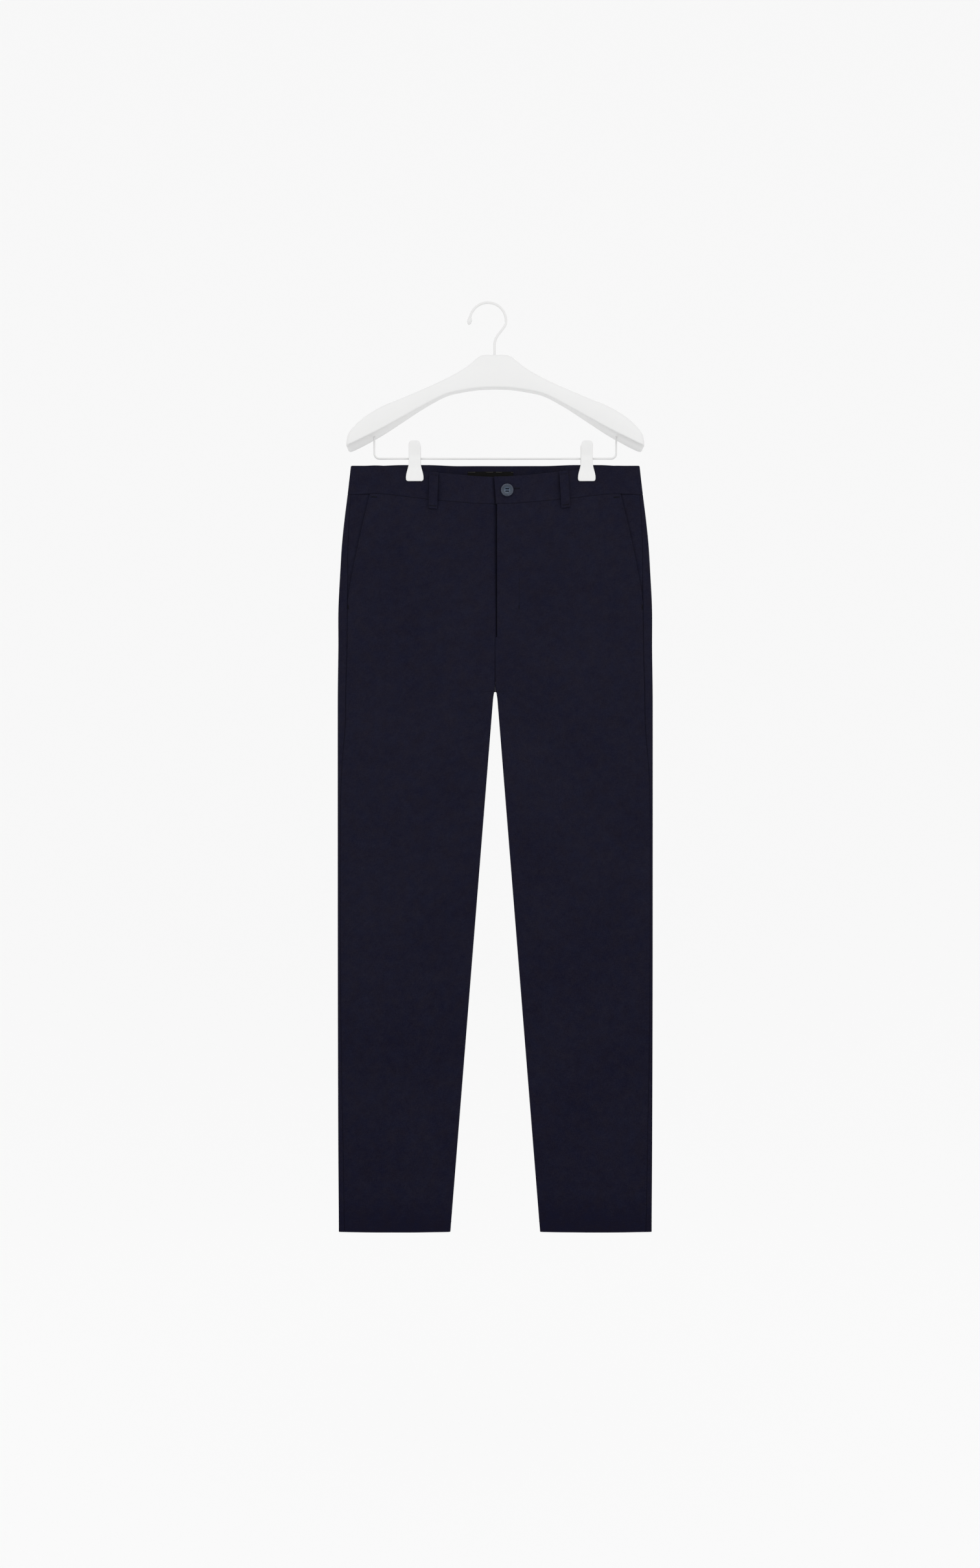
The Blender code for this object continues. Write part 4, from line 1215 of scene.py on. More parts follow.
def make_pocket_facings():
    """Behind the front panel's slant edge, then up to the side seam."""
    downs = row_places(*(d for d in panel_rows() if d <= POCKET_END), POCKET_END + FACING_TAIL)
    mouth = front_edge(downs)
    seam = side_seam(downs) - SEAM / 2
    hidden = np.stack([mouth - offset for offset in FACING_HIDDEN], axis=1)
    shown = mouth[:, None] + (seam - mouth)[:, None] * FACING_SHARES[None, :]
    flush = smooth((seam - mouth) / FACING_FLUSH_WIDTH)[:, None]
    rise = np.concatenate((0.0 * hidden, flush * smooth(FACING_SHARES)[None, :]), axis=1)
    x = np.concatenate((hidden, shown), axis=1)
    rows = downs[:, None] + 0.0 * x
    roll = np.maximum(seam_roll(rows - PANEL_TOP), seam_roll(seam[:, None] - x) * flush)
    dip = MOUTH_DIP * smooth(1.0 - (x - mouth[:, None]) / MOUTH_DIP_WIDTH)
    dip = dip * smooth((POCKET_END - rows) / MOUTH_DIP_FADE)
    for side, sign in SIDES.items():
        signed = x * sign
        depth = plain_depth("front", signed, rows) + lap(signed, rows)
        depth = depth - (CLOTH + GAP) * (1.0 - rise)
        depth = depth + seam_puckers("front", signed, rows) * rise - dip
        cloth_piece(f"pocket_facing_cloth_{side}", f"pocket_facing_{side}",
                    place("front", signed, depth - roll, rows),
                    place("front", signed, depth - CLOTH, rows), downs, [f"waistband_cloth_{side}"])


def hanging_strip(name, node, x, downs, depth_of, **details):
    """Plain strip behind the front, from its places across and its depth."""
    across, rows = spread(x, downs)
    ends = np.minimum(across - x.min(), x.max() - across)
    turn = np.maximum(nose(ends, TRIM_WALL), nose(downs.max() - rows, TRIM_WALL))
    depth = depth_of(across, rows)
    cloth_piece(name, node, place("front", across, depth - turn, rows),
                place("front", across, depth - TRIM_WALL + turn, rows), downs,
                ["waistband_cloth_left"], **details)


def zip_depth(x, down):
    return plain_depth("front", x, down) + lap(x, down) - CLOTH - GAP


def shield_depth(x, down):
    return plain_depth("front", x, down) - SHIELD_DEPTH


ZIP_ACROSS = np.array((0.0034, 0.0036, 0.0050, 0.0085, 0.0120, 0.0160,
                       0.0205, 0.0250, 0.0285, 0.0298, 0.0300))
SHIELD_ACROSS = np.concatenate((-ZIP_ACROSS[4::-1], ZIP_ACROSS))


def make_fly():
    """The zip hangs behind the left front, and the shield behind both."""
    downs = row_places(*(d for d in panel_rows() if d <= FLY_END))
    hanging_strip("zip_tape_cloth", "fly_zip", ZIP_ACROSS, downs, zip_depth,
                  finish="tape", slot="zip_tape")
    hanging_strip("fly_shield_cloth", "fly_shield", SHIELD_ACROSS,
                  row_places(*downs, FLY_END + SHIELD_TAIL), shield_depth)


LABEL_ACROSS = np.array((-0.0400, -0.0398, -0.0380, -0.0300, -0.0200, -0.0100, 0.0, 0.0100, 0.0180,
                         0.0240, 0.0260, 0.0262))
LABEL_DOWN = np.array((0.0085, 0.0087, 0.0100, 0.0140, 0.0190, 0.0240, 0.0290,
                       0.0345, 0.0358, 0.0360))
LABEL_WALL = 0.0010
LABEL_SEAT = 0.0004
LABEL_BELLY = 0.00025


def make_label():
    """Bare label on the inside of the back waistband."""
    x, rows = spread(LABEL_ACROSS, LABEL_DOWN)
    ends = np.minimum(np.minimum(x - x.min(), x.max() - x),
                      np.minimum(rows - rows.min(), rows.max() - rows))
    turn = nose(ends, LABEL_WALL)
    belly = LABEL_BELLY * ripple(x, 31, (0.021, 0.034)) * smooth((rows - rows.min()) / 0.004)
    seat = surface_depth("back", x, rows) - BAND_WALL - LABEL_SEAT
    cloth_piece("label_ribbon", "label", place("back", x, seat - turn, rows),
                place("back", x, seat - LABEL_WALL + turn - belly, rows), LABEL_DOWN,
                BOTH_BANDS, finish="label", slot="label")


# ---------------------------------------------------------------- belt loops

def loop_rise(share):
    """How far the loop stands off, along its length."""
    return LOOP_SEAT + LOOP_BOW * np.sin(math.pi * share)


def loop_surface(face, middles, across, share):
    """Point on a belt loop's outer face: across from -1 to 1, share down its length."""
    x = mix(middles[0], middles[1], share) + across * LOOP_HALF_WIDTH
    down = share * LOOP_END
    depth = plain_depth(face, x, down) + (lap(x, down) if face == "front" else 0.0)
    tilt = LOOP_TILT * np.sin(math.pi * np.clip(share * 1.1, 0.0, 1.0)) ** 0.5
    return x, depth + loop_rise(share) + tilt * (0.5 - 0.5 * across), down


LOOP_ACROSS = np.array((-1.0, -0.985, -0.93, -0.83, -0.66, -0.45, -0.22, 0.0,
                        0.22, 0.45, 0.66, 0.83, 0.93, 0.985, 1.0))
LOOP_SHARES = np.array((0.0, 0.004, 0.014, 0.030, 0.055, 0.085, 0.12, 0.18, 0.25, 0.33, 0.41, 0.50,
                        0.59, 0.67, 0.75, 0.82, 0.875, 0.91, 0.935, 0.955, 0.970, 0.982, 0.991,
                        0.997, 1.0))
Hump = namedtuple("Hump", "height middle half_width")
LOOP_TACK = Hump(0.00070, 0.0044, 0.0012)      # pulled in, from either end
LOOP_STITCH = Hump(0.00018, 0.0019, 0.0006)    # pulled in, from either side
LOOP_TURN = Hump(0.00055, 0.0017, 0.0016)      # the turned-under end, standing out
LOOP_SKEW = 0.00016


def hump(kind, distance):
    return kind.height * np.exp(-((distance - kind.middle) / kind.half_width) ** 2)


def make_belt_loop(name, face, middles):
    """Folded strip with rolled edges, turned under and tacked down at both ends."""
    across, share = spread(LOOP_ACROSS, LOOP_SHARES)
    x, depth, down = loop_surface(face, middles, across, share)
    to_side = (1.0 - np.abs(across)) * LOOP_HALF_WIDTH
    to_end = np.minimum(share, 1.0 - share) * LOOP_END
    turn = np.maximum(nose(to_side, LOOP_WALL * 1.3), nose(to_end, LOOP_WALL * 1.4))
    pulled = hump(LOOP_TACK, to_end) * smooth((to_side - 0.0010) / 0.0016)
    turned_under = hump(LOOP_TURN, to_end) * smooth(to_side / 0.0015)
    skewed = LOOP_SKEW * ripple(share * LOOP_END + across * 0.003, 41, (0.009, 0.015, 0.023))
    outer = depth + LOOP_WALL - turn - pulled - hump(LOOP_STITCH, to_side) + turned_under + skewed
    inner = np.minimum(depth + turn, outer - GAP)
    cloth_piece(f"{name}_strip", name, place(face, x, outer, down), place(face, x, inner, down),
                LOOP_SHARES * LOOP_END, BOTH_BANDS, held="stretched")


def all_loops():
    for side, middles in FRONT_LOOPS.items():
        yield f"belt_loop_front_{side}", "front", middles
    for side, middles in BACK_LOOPS.items():
        yield f"belt_loop_back_{side}", "back", middles


def make_belt_loops():
    for name, face, middles in all_loops():
        make_belt_loop(name, face, middles)


# ---------------------------------------------------------------- sewing

Stitch = namedtuple("Stitch", "thread pitch length thickness across")
STITCHES = {
    # thread, from stitch to stitch, length, thickness, 1 where it lies across the line
    "hem": Stitch("thread", 0.0034, 0.0026, 0.00042, 0.0),
    "fly": Stitch("thread", 0.0030, 0.0021, 0.00028, 0.0),
    # painted shade: a dark line over the fly's stitching stands for a small pull crease
    "fly_back": Stitch("dark_thread", 0.0024, 0.0025, 0.00040, 0.0),
    "fly_tack": Stitch("dark_thread", 0.00045, 0.0014, 0.00040, 1.0),
    "pocket": Stitch("thread", 0.0030, 0.0022, 0.00030, 0.0),
    "pocket_tack": Stitch("dark_thread", 0.00042, 0.0021, 0.00040, 1.0),
    "waist_seam": Stitch("dark_thread", 0.0030, 0.0022, 0.00040, 0.0),
    "loop": Stitch("thread", 0.0027, 0.0022, 0.00036, 0.0),
    "loop_tack": Stitch("dark_thread", 0.00042, 0.0022, 0.00044, 1.0),
    "label": Stitch("pale_thread", 0.0017, 0.0013, 0.00032, 0.0),
    "coil": Stitch("coil", 0.0012, 0.0042, 0.0009, 1.0),
    "purl": Stitch("thread", 0.00040, 0.0013, 0.00034, 1.0),
    # painted shade: dark beads along the buttonhole's slit stand for the shade inside the cut
    "slit": Stitch("dark_thread", 0.0010, 0.0016, 0.0007, 0.0),
}
SIZE_INPUTS = ("Pitch", "Length", "Thickness", "Across")
JITTER = ((0.90, 0.85, 0.85), (1.08, 1.15, 1.15))   # smallest and largest size of a stitch
STITCH_LIFT = 0.00006         # how far a stitch's middle lies above the cloth


class Sewing(Nodes):
    """Geometry Nodes tree that lays one stitch after another along curves."""

    def __init__(self):
        self.tree = bpy.data.node_groups.new("stitches_along_a_line", "GeometryNodeTree")
        self.inputs = {"Line": self.socket("Line", "NodeSocketGeometry")}
        for name in SIZE_INPUTS:
            self.inputs[name] = self.socket(name, "NodeSocketFloat")
        self.inputs["Thread"] = self.socket("Thread", "NodeSocketMaterial")
        self.socket("Stitches", "NodeSocketGeometry", "OUTPUT")
        given = self.tree.nodes.new("NodeGroupInput").outputs
        stitches = self.build({name: Value(self, given[name]) for name in self.inputs})
        self.feed(self.tree.nodes.new("NodeGroupOutput").inputs["Stitches"], stitches)

    def socket(self, name, kind, in_out="INPUT"):
        return self.tree.interface.new_socket(name=name, in_out=in_out, socket_type=kind).identifier

    def build(self, given):
        spaced = self.node("GeometryNodeResampleCurve", {"mode": "LENGTH"},
                           {"Curve": given["Line"], "Length": given["Pitch"]})
        points = self.node("GeometryNodeCurveToPoints", {"mode": "EVALUATED"}, {"Curve": spaced})
        tangent = Value(self, points.socket.node.outputs["Tangent"])
        sideways = self.node("ShaderNodeVectorMath", {"operation": "CROSS_PRODUCT"},
                             (tangent, (0.0, 1.0, 0.0)))
        turned = self.node("ShaderNodeMix", {"data_type": "VECTOR"},
                           {0: given["Across"], 4: tangent, 5: sideways}, 1)
        lay = self.node("FunctionNodeAlignRotationToVector", {"axis": "X"}, {"Vector": turned})
        jitter = self.node("FunctionNodeRandomValue", {"data_type": "FLOAT_VECTOR"},
                           {"Seed": 7, 0: JITTER[0], 1: JITTER[1]})
        size = self.node("ShaderNodeCombineXYZ", None,
                         (given["Length"], given["Thickness"], given["Thickness"]))
        scale = self.node("ShaderNodeVectorMath", {"operation": "MULTIPLY"}, (size, jitter))
        bead = self.node("GeometryNodeMeshUVSphere", None,
                         {"Segments": 6, "Rings": 5, "Radius": 0.5})
        placed = self.node("GeometryNodeInstanceOnPoints", None,
                           {"Points": points, "Instance": bead, "Rotation": lay, "Scale": scale})
        real = self.node("GeometryNodeRealizeInstances", None, {"Geometry": placed})
        return self.node("GeometryNodeSetMaterial", None,
                         {"Geometry": real, "Material": given["Thread"]})

    def lay(self, name, lines, kind, slot="navy_cloth"):
        """Stitches along lines of points, as one plain mesh."""
        stitch = STITCHES[kind]
        curve = bpy.data.curves.new(f"{name}_line", "CURVE")
        curve.dimensions = "3D"
        for line in lines:
            spline = curve.splines.new("POLY")
            spline.points.add(len(line) - 1)
            spline.points.foreach_set("co", np.column_stack((line, np.ones(len(line)))).ravel())
        guide = new_object(f"{name}_line", curve)
        modifier = guide.modifiers.new("stitches", "NODES")
        modifier.node_group = self.tree
        for key, value in zip(SIZE_INPUTS, stitch[1:]):
            modifier[self.inputs[key]] = value
        modifier[self.inputs["Thread"]] = MATERIALS[stitch.thread]
        mesh = as_plain_mesh(guide)
        mesh.name = name
        guide.modifiers.remove(modifier)
        bpy.data.objects.remove(guide)
        finish_piece(new_object(name, mesh), MATERIALS[stitch.thread], slot=slot, sharp=180)


SEWING = Sewing()


def on_cloth(face, x, down, lift=STITCH_LIFT):
    """Points just above the cloth."""
    return place(face, x, surface_depth(face, x, down) + lift, down)


def pushed_out(line, lift):
    """A line round a leg, moved out of the cloth."""
    middle = line.mean(axis=0)
    ahead = np.gradient(line[:, :2], axis=0)
    out = np.stack((ahead[:, 1], -ahead[:, 0]), axis=1)
    out /= np.linalg.norm(out, axis=1)[:, None] + 1e-12
    outward = np.sign(np.sum(out * (line[:, :2] - middle[:2]), axis=1).sum())
    moved = line.copy()
    moved[:, :2] += out * outward * lift
    return moved


def sew_hems():
    """One line of stitching round each leg, fifteen millimetres above its lower edge."""
    row = int(np.argmin(np.abs(panel_rows() - (HEM - HEM_TURN))))
    for side in SIDES:
        lines = [pushed_out(PANELS[face, side][row], STITCH_LIFT) for face in ("front", "back")]
        SEWING.lay(f"hem_stitching_{side}", lines, "hem")


FLY_STITCH_X = 0.0345
FLY_STITCH_TURN = 0.196       # down to where the fly's stitching starts to curve in
FLY_STITCH_LOW = FLY_END - 0.004
FLY_STITCH_END_X = 0.0015
FLY_CREASE_SHADE = (0.1650, 0.2060)   # a dark line over the fly's stitching from here to here: painted shade of a small pull crease
FLY_TACK = (0.2050, 0.2105)


def fly_line():
    """Down beside the zip, then in a quarter oval to the fly's end."""
    straight = np.linspace(PANEL_TOP + 0.001, FLY_STITCH_TURN, 60)
    angles = np.linspace(0.0, math.pi / 2, 40)[1:]
    oval = FLY_STITCH_END_X + (FLY_STITCH_X - FLY_STITCH_END_X) * np.cos(angles)
    x = np.concatenate((FLY_STITCH_X + 0.0 * straight, oval))
    turn = FLY_STITCH_TURN + (FLY_STITCH_LOW - FLY_STITCH_TURN) * np.sin(angles)
    return on_cloth("front", x, np.concatenate((straight, turn)))


def sew_fly():
    SEWING.lay("fly_stitching", [fly_line()], "fly")
    # painted shade of a small pull crease, laid as a dark line over the stitching
    down = np.linspace(*FLY_CREASE_SHADE, 30)
    SEWING.lay("fly_backstitching", [on_cloth("front", FLY_STITCH_X + 0.0002 + 0.0 * down, down)],
               "fly_back")
    down = np.linspace(*FLY_TACK, 8)
    SEWING.lay("fly_tack", [on_cloth("front", FLY_STITCH_X + 0.0 * down, down)], "fly_tack")


POCKET_STITCH_IN = 0.0022     # from the mouth's edge
TOP_TACK = (SLANT_TOP_X - 0.0060, PANEL_TOP + 0.0050)   # across and down
TOP_TACK_WIDTH = 0.0082
TOP_TACK_SLOPE = -0.08
LOW_TACK = (POCKET_END - 0.004, POCKET_END + 0.003)
LOW_TACK_IN = 0.0012


def sew_pockets():
    """A line along each pocket's edge and a bar tack at both of its ends."""
    lines, tacks = [], []
    for sign in SIDES.values():
        down = np.linspace(PANEL_TOP + 0.002, POCKET_END - 0.002, 90)
        x = (front_edge(down) - POCKET_STITCH_IN) * sign
        lines.append(on_cloth("front", x, down, STITCH_LIFT + mouth_gape(x, down)))
        across = np.linspace(-TOP_TACK_WIDTH / 2, TOP_TACK_WIDTH / 2, 12)
        tacks.append(on_cloth("front", sign * TOP_TACK[0] + across,
                              TOP_TACK[1] + TOP_TACK_SLOPE * sign * across))
        ends = np.linspace(*LOW_TACK, 10)
        tacks.append(on_cloth("front", (front_edge(ends) - LOW_TACK_IN) * sign, ends))
    SEWING.lay("pocket_stitching", lines, "pocket")
    SEWING.lay("pocket_tacks", tacks, "pocket_tack")


def sew_waist():
    """Stitching in the seam under the waistband, front and back."""
    lines = []
    for face in ("front", "back"):
        for sign in SIDES.values():
            x = np.linspace(0.001, 0.2105, 160) * sign
            lines.append(on_cloth(face, x, BAND_HEIGHT + GAP / 2 + 0.0 * x, -0.0004))
    SEWING.lay("waist_seam_stitching", lines, "waist_seam")


LOOP_STITCH_ACROSS = 0.72
LOOP_STITCH_SINK = 0.00016
LOOP_TACKS = ((0.077, 0.62), (0.923, 0.66))   # share of the length, half width
LOOP_TACK_SINK = 0.00055


def sew_loops():
    """Edge stitching down each belt loop, and bar tacks across its two ends."""
    lines, tacks = [], []
    for _, face, middles in all_loops():
        for across in (-LOOP_STITCH_ACROSS, LOOP_STITCH_ACROSS):
            share = np.linspace(0.10, 0.90, 30)
            x, depth, down = loop_surface(face, middles, across + 0.0 * share, share)
            lines.append(place(face, x, depth + LOOP_WALL - LOOP_STITCH_SINK, down))
        for share, half in LOOP_TACKS:
            across = np.linspace(-half, half, 16)
            x, depth, down = loop_surface(face, middles, across, share + 0.0 * across)
            tacks.append(place(face, x, depth + LOOP_WALL - LOOP_TACK_SINK, down))
    SEWING.lay("loop_stitching", lines, "loop")
    SEWING.lay("loop_tacks", tacks, "loop_tack")


LABEL_RUNS = ((-0.0392, -0.0300), (-0.0120, -0.0040), (0.0020, 0.0090), (0.0238, 0.0256))
LABEL_RUN_DOWN = 0.0096


def sew_label():
    """Short runs of pale thread along the label's top edge."""
    runs = []
    for run in LABEL_RUNS:
        x = np.linspace(*run, 12)
        down = LABEL_RUN_DOWN + 0.0 * x
        inside = surface_depth("back", x, down) - BAND_WALL - LABEL_SEAT - LABEL_WALL
        runs.append(place("back", x, inside - 0.0001, down))
    SEWING.lay("label_stitching", runs, "label", slot="label")


ZIP_MIDDLE_X = 0.0155


def make_zip_coil():
    """The zip's closed coil of teeth."""
    down = np.linspace(PANEL_TOP + 0.004, FLY_END - 0.004, 80)
    x = ZIP_MIDDLE_X + 0.0 * down
    inside = zip_depth(x, down) - TRIM_WALL
    SEWING.lay("zip_coil", [place("front", x, inside - 0.0004, down)], "coil", slot="zip_tape")


# ---------------------------------------------------------------- button and buttonhole

HOLE_OFFSET = 0.00175
HOLE_RADIUS = 0.00095

ButtonRow = namedtuple("ButtonRow", "radius height")
BUTTON_PROFILE = tuple(ButtonRow(*row) for row in (
    # radius, height above the back
    (0.0070, 0.0000),
    (0.0086, 0.0001),
    (0.0091, 0.0005),
    (0.0093, 0.0011),
    (0.0093, 0.0018),
    (0.0091, 0.0024),
    (0.0087, 0.0028),
    (0.0081, 0.0030),
    (0.0075, 0.0029),
    (0.0070, 0.0025),
    (0.0066, 0.0021),
    (0.0060, 0.00195),
    (0.0052, 0.00195),
    (0.0046, 0.0020),
    (0.0042, 0.00185),
    (0.0034, 0.00165),
    (0.0020, 0.00160),
))


def turned(profile, centre, back_y, sides):
    """Rings of a profile turned about an axis along Y."""
    turns = 2 * math.pi * np.arange(sides) / sides
    return [np.stack((centre[0] + row.radius * np.cos(turns), 0.0 * turns + back_y - row.height,
                      centre[1] + row.radius * np.sin(turns)), axis=1) for row in profile]


CORNERS = ((-1, -1), (-1, 1), (1, -1), (1, 1))     # of the four holes, across and up
HOLE_PROFILE = (ButtonRow(HOLE_RADIUS, -0.002), ButtonRow(HOLE_RADIUS, 0.0012),
                ButtonRow(HOLE_RADIUS * 1.25, 0.0021), ButtonRow(HOLE_RADIUS * 1.6, 0.005))


def make_button():
    """Turned disc with a raised rim, a stepped well and four holes."""
    rings = turned(BUTTON_PROFILE, (BUTTON_X, BUTTON_Z), BUTTON_BACK, 64)
    rough = new_object("button_blank", loft_mesh("button_disc", rings))
    cutters = []
    for across, up in CORNERS:
        centre = (BUTTON_X + across * HOLE_OFFSET, BUTTON_Z + up * HOLE_OFFSET)
        hole = turned(HOLE_PROFILE, centre, BUTTON_BACK, 16)
        cutters.append(new_object("hole_cutter", loft_mesh("hole_cutter", hole)))
        cut = rough.modifiers.new("hole", "BOOLEAN")
        cut.operation = "DIFFERENCE"
        cut.object = cutters[-1]
    mesh = as_plain_mesh(rough)
    for obj in (rough, *cutters):
        bpy.data.objects.remove(obj)
    disc = new_object("button_disc", mesh)
    finish_piece(disc, MATERIALS["button"], "button", slot="button", sharp=40)


def wire_rings(path, radii, sides, beside=(0.0, 1.0, 0.0)):
    """Rings square to a path, which must not run along the direction given as beside."""
    path = np.asarray(path, float)
    ahead = np.gradient(path, axis=0)
    ahead /= np.linalg.norm(ahead, axis=1)[:, None]
    first = np.cross(ahead, beside)
    first /= np.linalg.norm(first, axis=1)[:, None]
    second = np.cross(first, ahead)
    turns = 2 * math.pi * np.arange(sides) / sides
    radii = np.broadcast_to(radii, (len(path),))
    ring = (np.cos(turns)[None, :, None] * first[:, None, :]
            + np.sin(turns)[None, :, None] * second[:, None, :])
    return path[:, None, :] + radii[:, None, None] * ring


def join_meshes(name, meshes):
    bm = bmesh.new()
    for mesh in meshes:
        bm.from_mesh(mesh)
        bpy.data.meshes.remove(mesh)
    joined_mesh = bpy.data.meshes.new(name)
    bm.to_mesh(joined_mesh)
    bm.free()
    return joined_mesh


STRAND_RADIUS = 0.00022
STRAND_OFFSETS = (-0.00048, -0.00016, 0.00016, 0.00048)   # four side by side from hole to hole
SHANK_RADIUS = 0.00055


def make_button_thread():
    """Strands from hole to hole, two level bars of four strands each, and the shank behind."""
    meshes = []
    for up in (-HOLE_OFFSET, HOLE_OFFSET):
        for k, offset in enumerate(STRAND_OFFSETS):
            t = np.linspace(-1.0, 1.0, 15)
            x = BUTTON_X + t * (HOLE_OFFSET + 0.0002)
            y = BUTTON_BACK - 0.0008 - 0.0016 * (1.0 - t**6) - 0.00012 * (k % 2)
            path = np.stack((x, y, BUTTON_Z + up + offset * (1.0 - 0.35 * t**4)), axis=1)
            meshes.append(loft_mesh("strand", wire_rings(path, STRAND_RADIUS, 6, (0.0, 0.0, 1.0))))
    t = np.linspace(0.0, 1.0, 8)
    for across, up in CORNERS:
        x = BUTTON_X + across * HOLE_OFFSET * (1.0 - 0.4 * t)
        z = BUTTON_Z + up * HOLE_OFFSET * (1.0 - 0.4 * t)
        path = np.stack((x, BUTTON_BACK - 0.0006 + 0.0014 * t, z), axis=1)
        meshes.append(loft_mesh("strand", wire_rings(path, SHANK_RADIUS, 8)))
    obj = new_object("button_thread", join_meshes("button_thread", meshes))
    finish_piece(obj, MATERIALS["dark_thread"], slot="button", sharp=180)


BUTTONHOLE_START = 0.0110     # from the centre front
BUTTONHOLE_END = 0.0348
BUTTONHOLE_DOWN = 0.0193
BUTTONHOLE_HALF = 0.0009
BUTTONHOLE_EYE = 1.3 * BUTTONHOLE_HALF
SLIT_LIFT = 0.00012


def make_buttonhole():
    """Close purl stitches down both sides of the slit and round its far end, and a dark line down
    the slit as its painted shade.
    """
    straight = np.linspace(BUTTONHOLE_START, BUTTONHOLE_END, 40)
    level = BUTTONHOLE_DOWN + 0.0 * straight
    turn = np.linspace(-math.pi / 2, math.pi / 2, 12)
    x = np.concatenate((straight, BUTTONHOLE_END + BUTTONHOLE_EYE * np.cos(turn), straight[::-1]))
    down = np.concatenate((level - BUTTONHOLE_HALF, BUTTONHOLE_DOWN + BUTTONHOLE_EYE * np.sin(turn),
                           level + BUTTONHOLE_HALF))
    SEWING.lay("buttonhole_purl", [on_cloth("front", x, down)], "purl")
    # painted shade inside the slit, laid as dark beads
    SEWING.lay("buttonhole_slit", [on_cloth("front", straight, level, SLIT_LIFT)], "slit")


# ---------------------------------------------------------------- hanger

BAR_LOW, BAR_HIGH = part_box("hanger_bar")
BAR_RADIUS = BAR_HIGH.y
BAR_Z = BAR_LOW.z + BAR_RADIUS
BAR_HALF_WIDTH = (BAR_HIGH.x - BAR_LOW.x) / 2 - BAR_RADIUS
BAR_BEND = 0.0075
HOOK_WIRE = 0.00185
HOOK_BEND = 0.0262
HOOK_MIDDLE_X = -0.0016
HOOK_TIP = 0.0035
HOOK_NECK = (0.0080, -0.0590)
HOOK_TURN = (176, -8)         # degrees, from the tip over the crest
HOOK_SWING = 0.0085
NECK_SWING = 0.0135
HOOK_TIP_STRETCH = 1.65
HOOK_TIP_DROP = 0.55
HOOK_TIP_TURN = 0.22
HOOK_TIP_HIDES = 4            # places of the path inside the tip
TOP_ROUND = 0.0034
BOTTOM_ROUND = 0.0026
CLIP_WALL = 0.0022
CLIP_BOTTOM_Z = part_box("clip_left_front")[0].z


def shoulder_ring(x):
    """Rounded section of the hanger body at one distance from its middle."""
    row = eased(SHOULDERS, abs(x))
    height = float(row.top - row.bottom)
    half = float(row.thick) / 2
    angles = np.radians(np.linspace(0, 90, 7))
    points = []
    for y_sign, z_sign in ((1, -1), (1, 1), (-1, 1), (-1, -1)):
        z, rounding = (row.top, TOP_ROUND) if z_sign < 0 else (row.bottom, BOTTOM_ROUND)
        radius = min(rounding, height / 2.5)
        y = half - radius * (1 - np.sin(angles))
        up = radius * (1 - np.cos(angles))
        corner = list(zip(y, up))
        corner = corner if y_sign * z_sign < 0 else corner[::-1]
        points += [(MIDDLE_X + x, y_sign * a, float(z) + z_sign * b) for a, b in corner]
    return points


def make_hanger_body():
    """Broad shoulders, lofted along their length and closed with rounded tips."""
    reach = SHOULDERS[-1].across
    angles = np.linspace(-math.pi / 2, math.pi / 2, 141)
    rings = [shoulder_ring(reach * math.sin(a)) for a in angles]
    lofted("hanger_wood", rings, MATERIALS["lacquer"], "hanger_body", slot="hanger", sharp=60)


def bezier(p0, p1, p2, p3, count):
    t = np.linspace(0.0, 1.0, count + 1)[1:, None]
    p0, p1, p2, p3 = (np.array(p) for p in (p0, p1, p2, p3))
    return (1 - t) ** 3 * p0 + 3 * t * (1 - t) ** 2 * p1 + 3 * t * t * (1 - t) * p2 + t**3 * p3


def hook_path():
    """From the tip over the crest, back to the neck and down into the hanger body."""
    angles = np.radians(np.linspace(*HOOK_TURN, 70))
    middle_z = HOOK_WIRE - HOOK_BEND
    turn = np.stack((HOOK_MIDDLE_X + HOOK_BEND * np.cos(angles),
                     middle_z + HOOK_BEND * np.sin(angles)), axis=1)
    end, last = turn[-1], angles[-1]
    ahead = (end[0] + HOOK_SWING * math.sin(last), end[1] - HOOK_SWING * math.cos(last))
    swing = bezier(end, ahead, (HOOK_NECK[0], HOOK_NECK[1] + NECK_SWING), HOOK_NECK, 24)
    heights = np.linspace(HOOK_NECK[1], SHOULDERS[0].top - 0.001, 8)[1:]
    foot = np.stack((HOOK_NECK[0] + 0.0 * heights, heights), axis=1)
    return np.concatenate((turn, swing, foot))


def make_hook():
    """Round wire with a dipped, drop-shaped tip."""
    path = hook_path()
    share = np.cos(np.linspace(math.pi, 0.0, 21))[1:-1]
    share = share[share < math.sqrt(1 - (HOOK_WIRE / HOOK_TIP) ** 2)]
    rise = HOOK_TIP * (HOOK_TIP_STRETCH * share - HOOK_TIP_DROP)
    tip = np.stack((path[0, 0] + HOOK_TIP_TURN * np.minimum(rise, 0.0), path[0, 1] + rise), axis=1)
    line = np.concatenate((tip, path[HOOK_TIP_HIDES:]))
    radii = np.concatenate((HOOK_TIP * np.sqrt(1 - share**2),
                            np.full(len(path) - HOOK_TIP_HIDES, HOOK_WIRE)))
    points = np.stack((line[:, 0], 0.0 * line[:, 0], line[:, 1]), axis=1)
    lofted("hook_wire", wire_rings(points, radii, 24), MATERIALS["wire"], "hanger_hook",
           slot="wire", sharp=60)


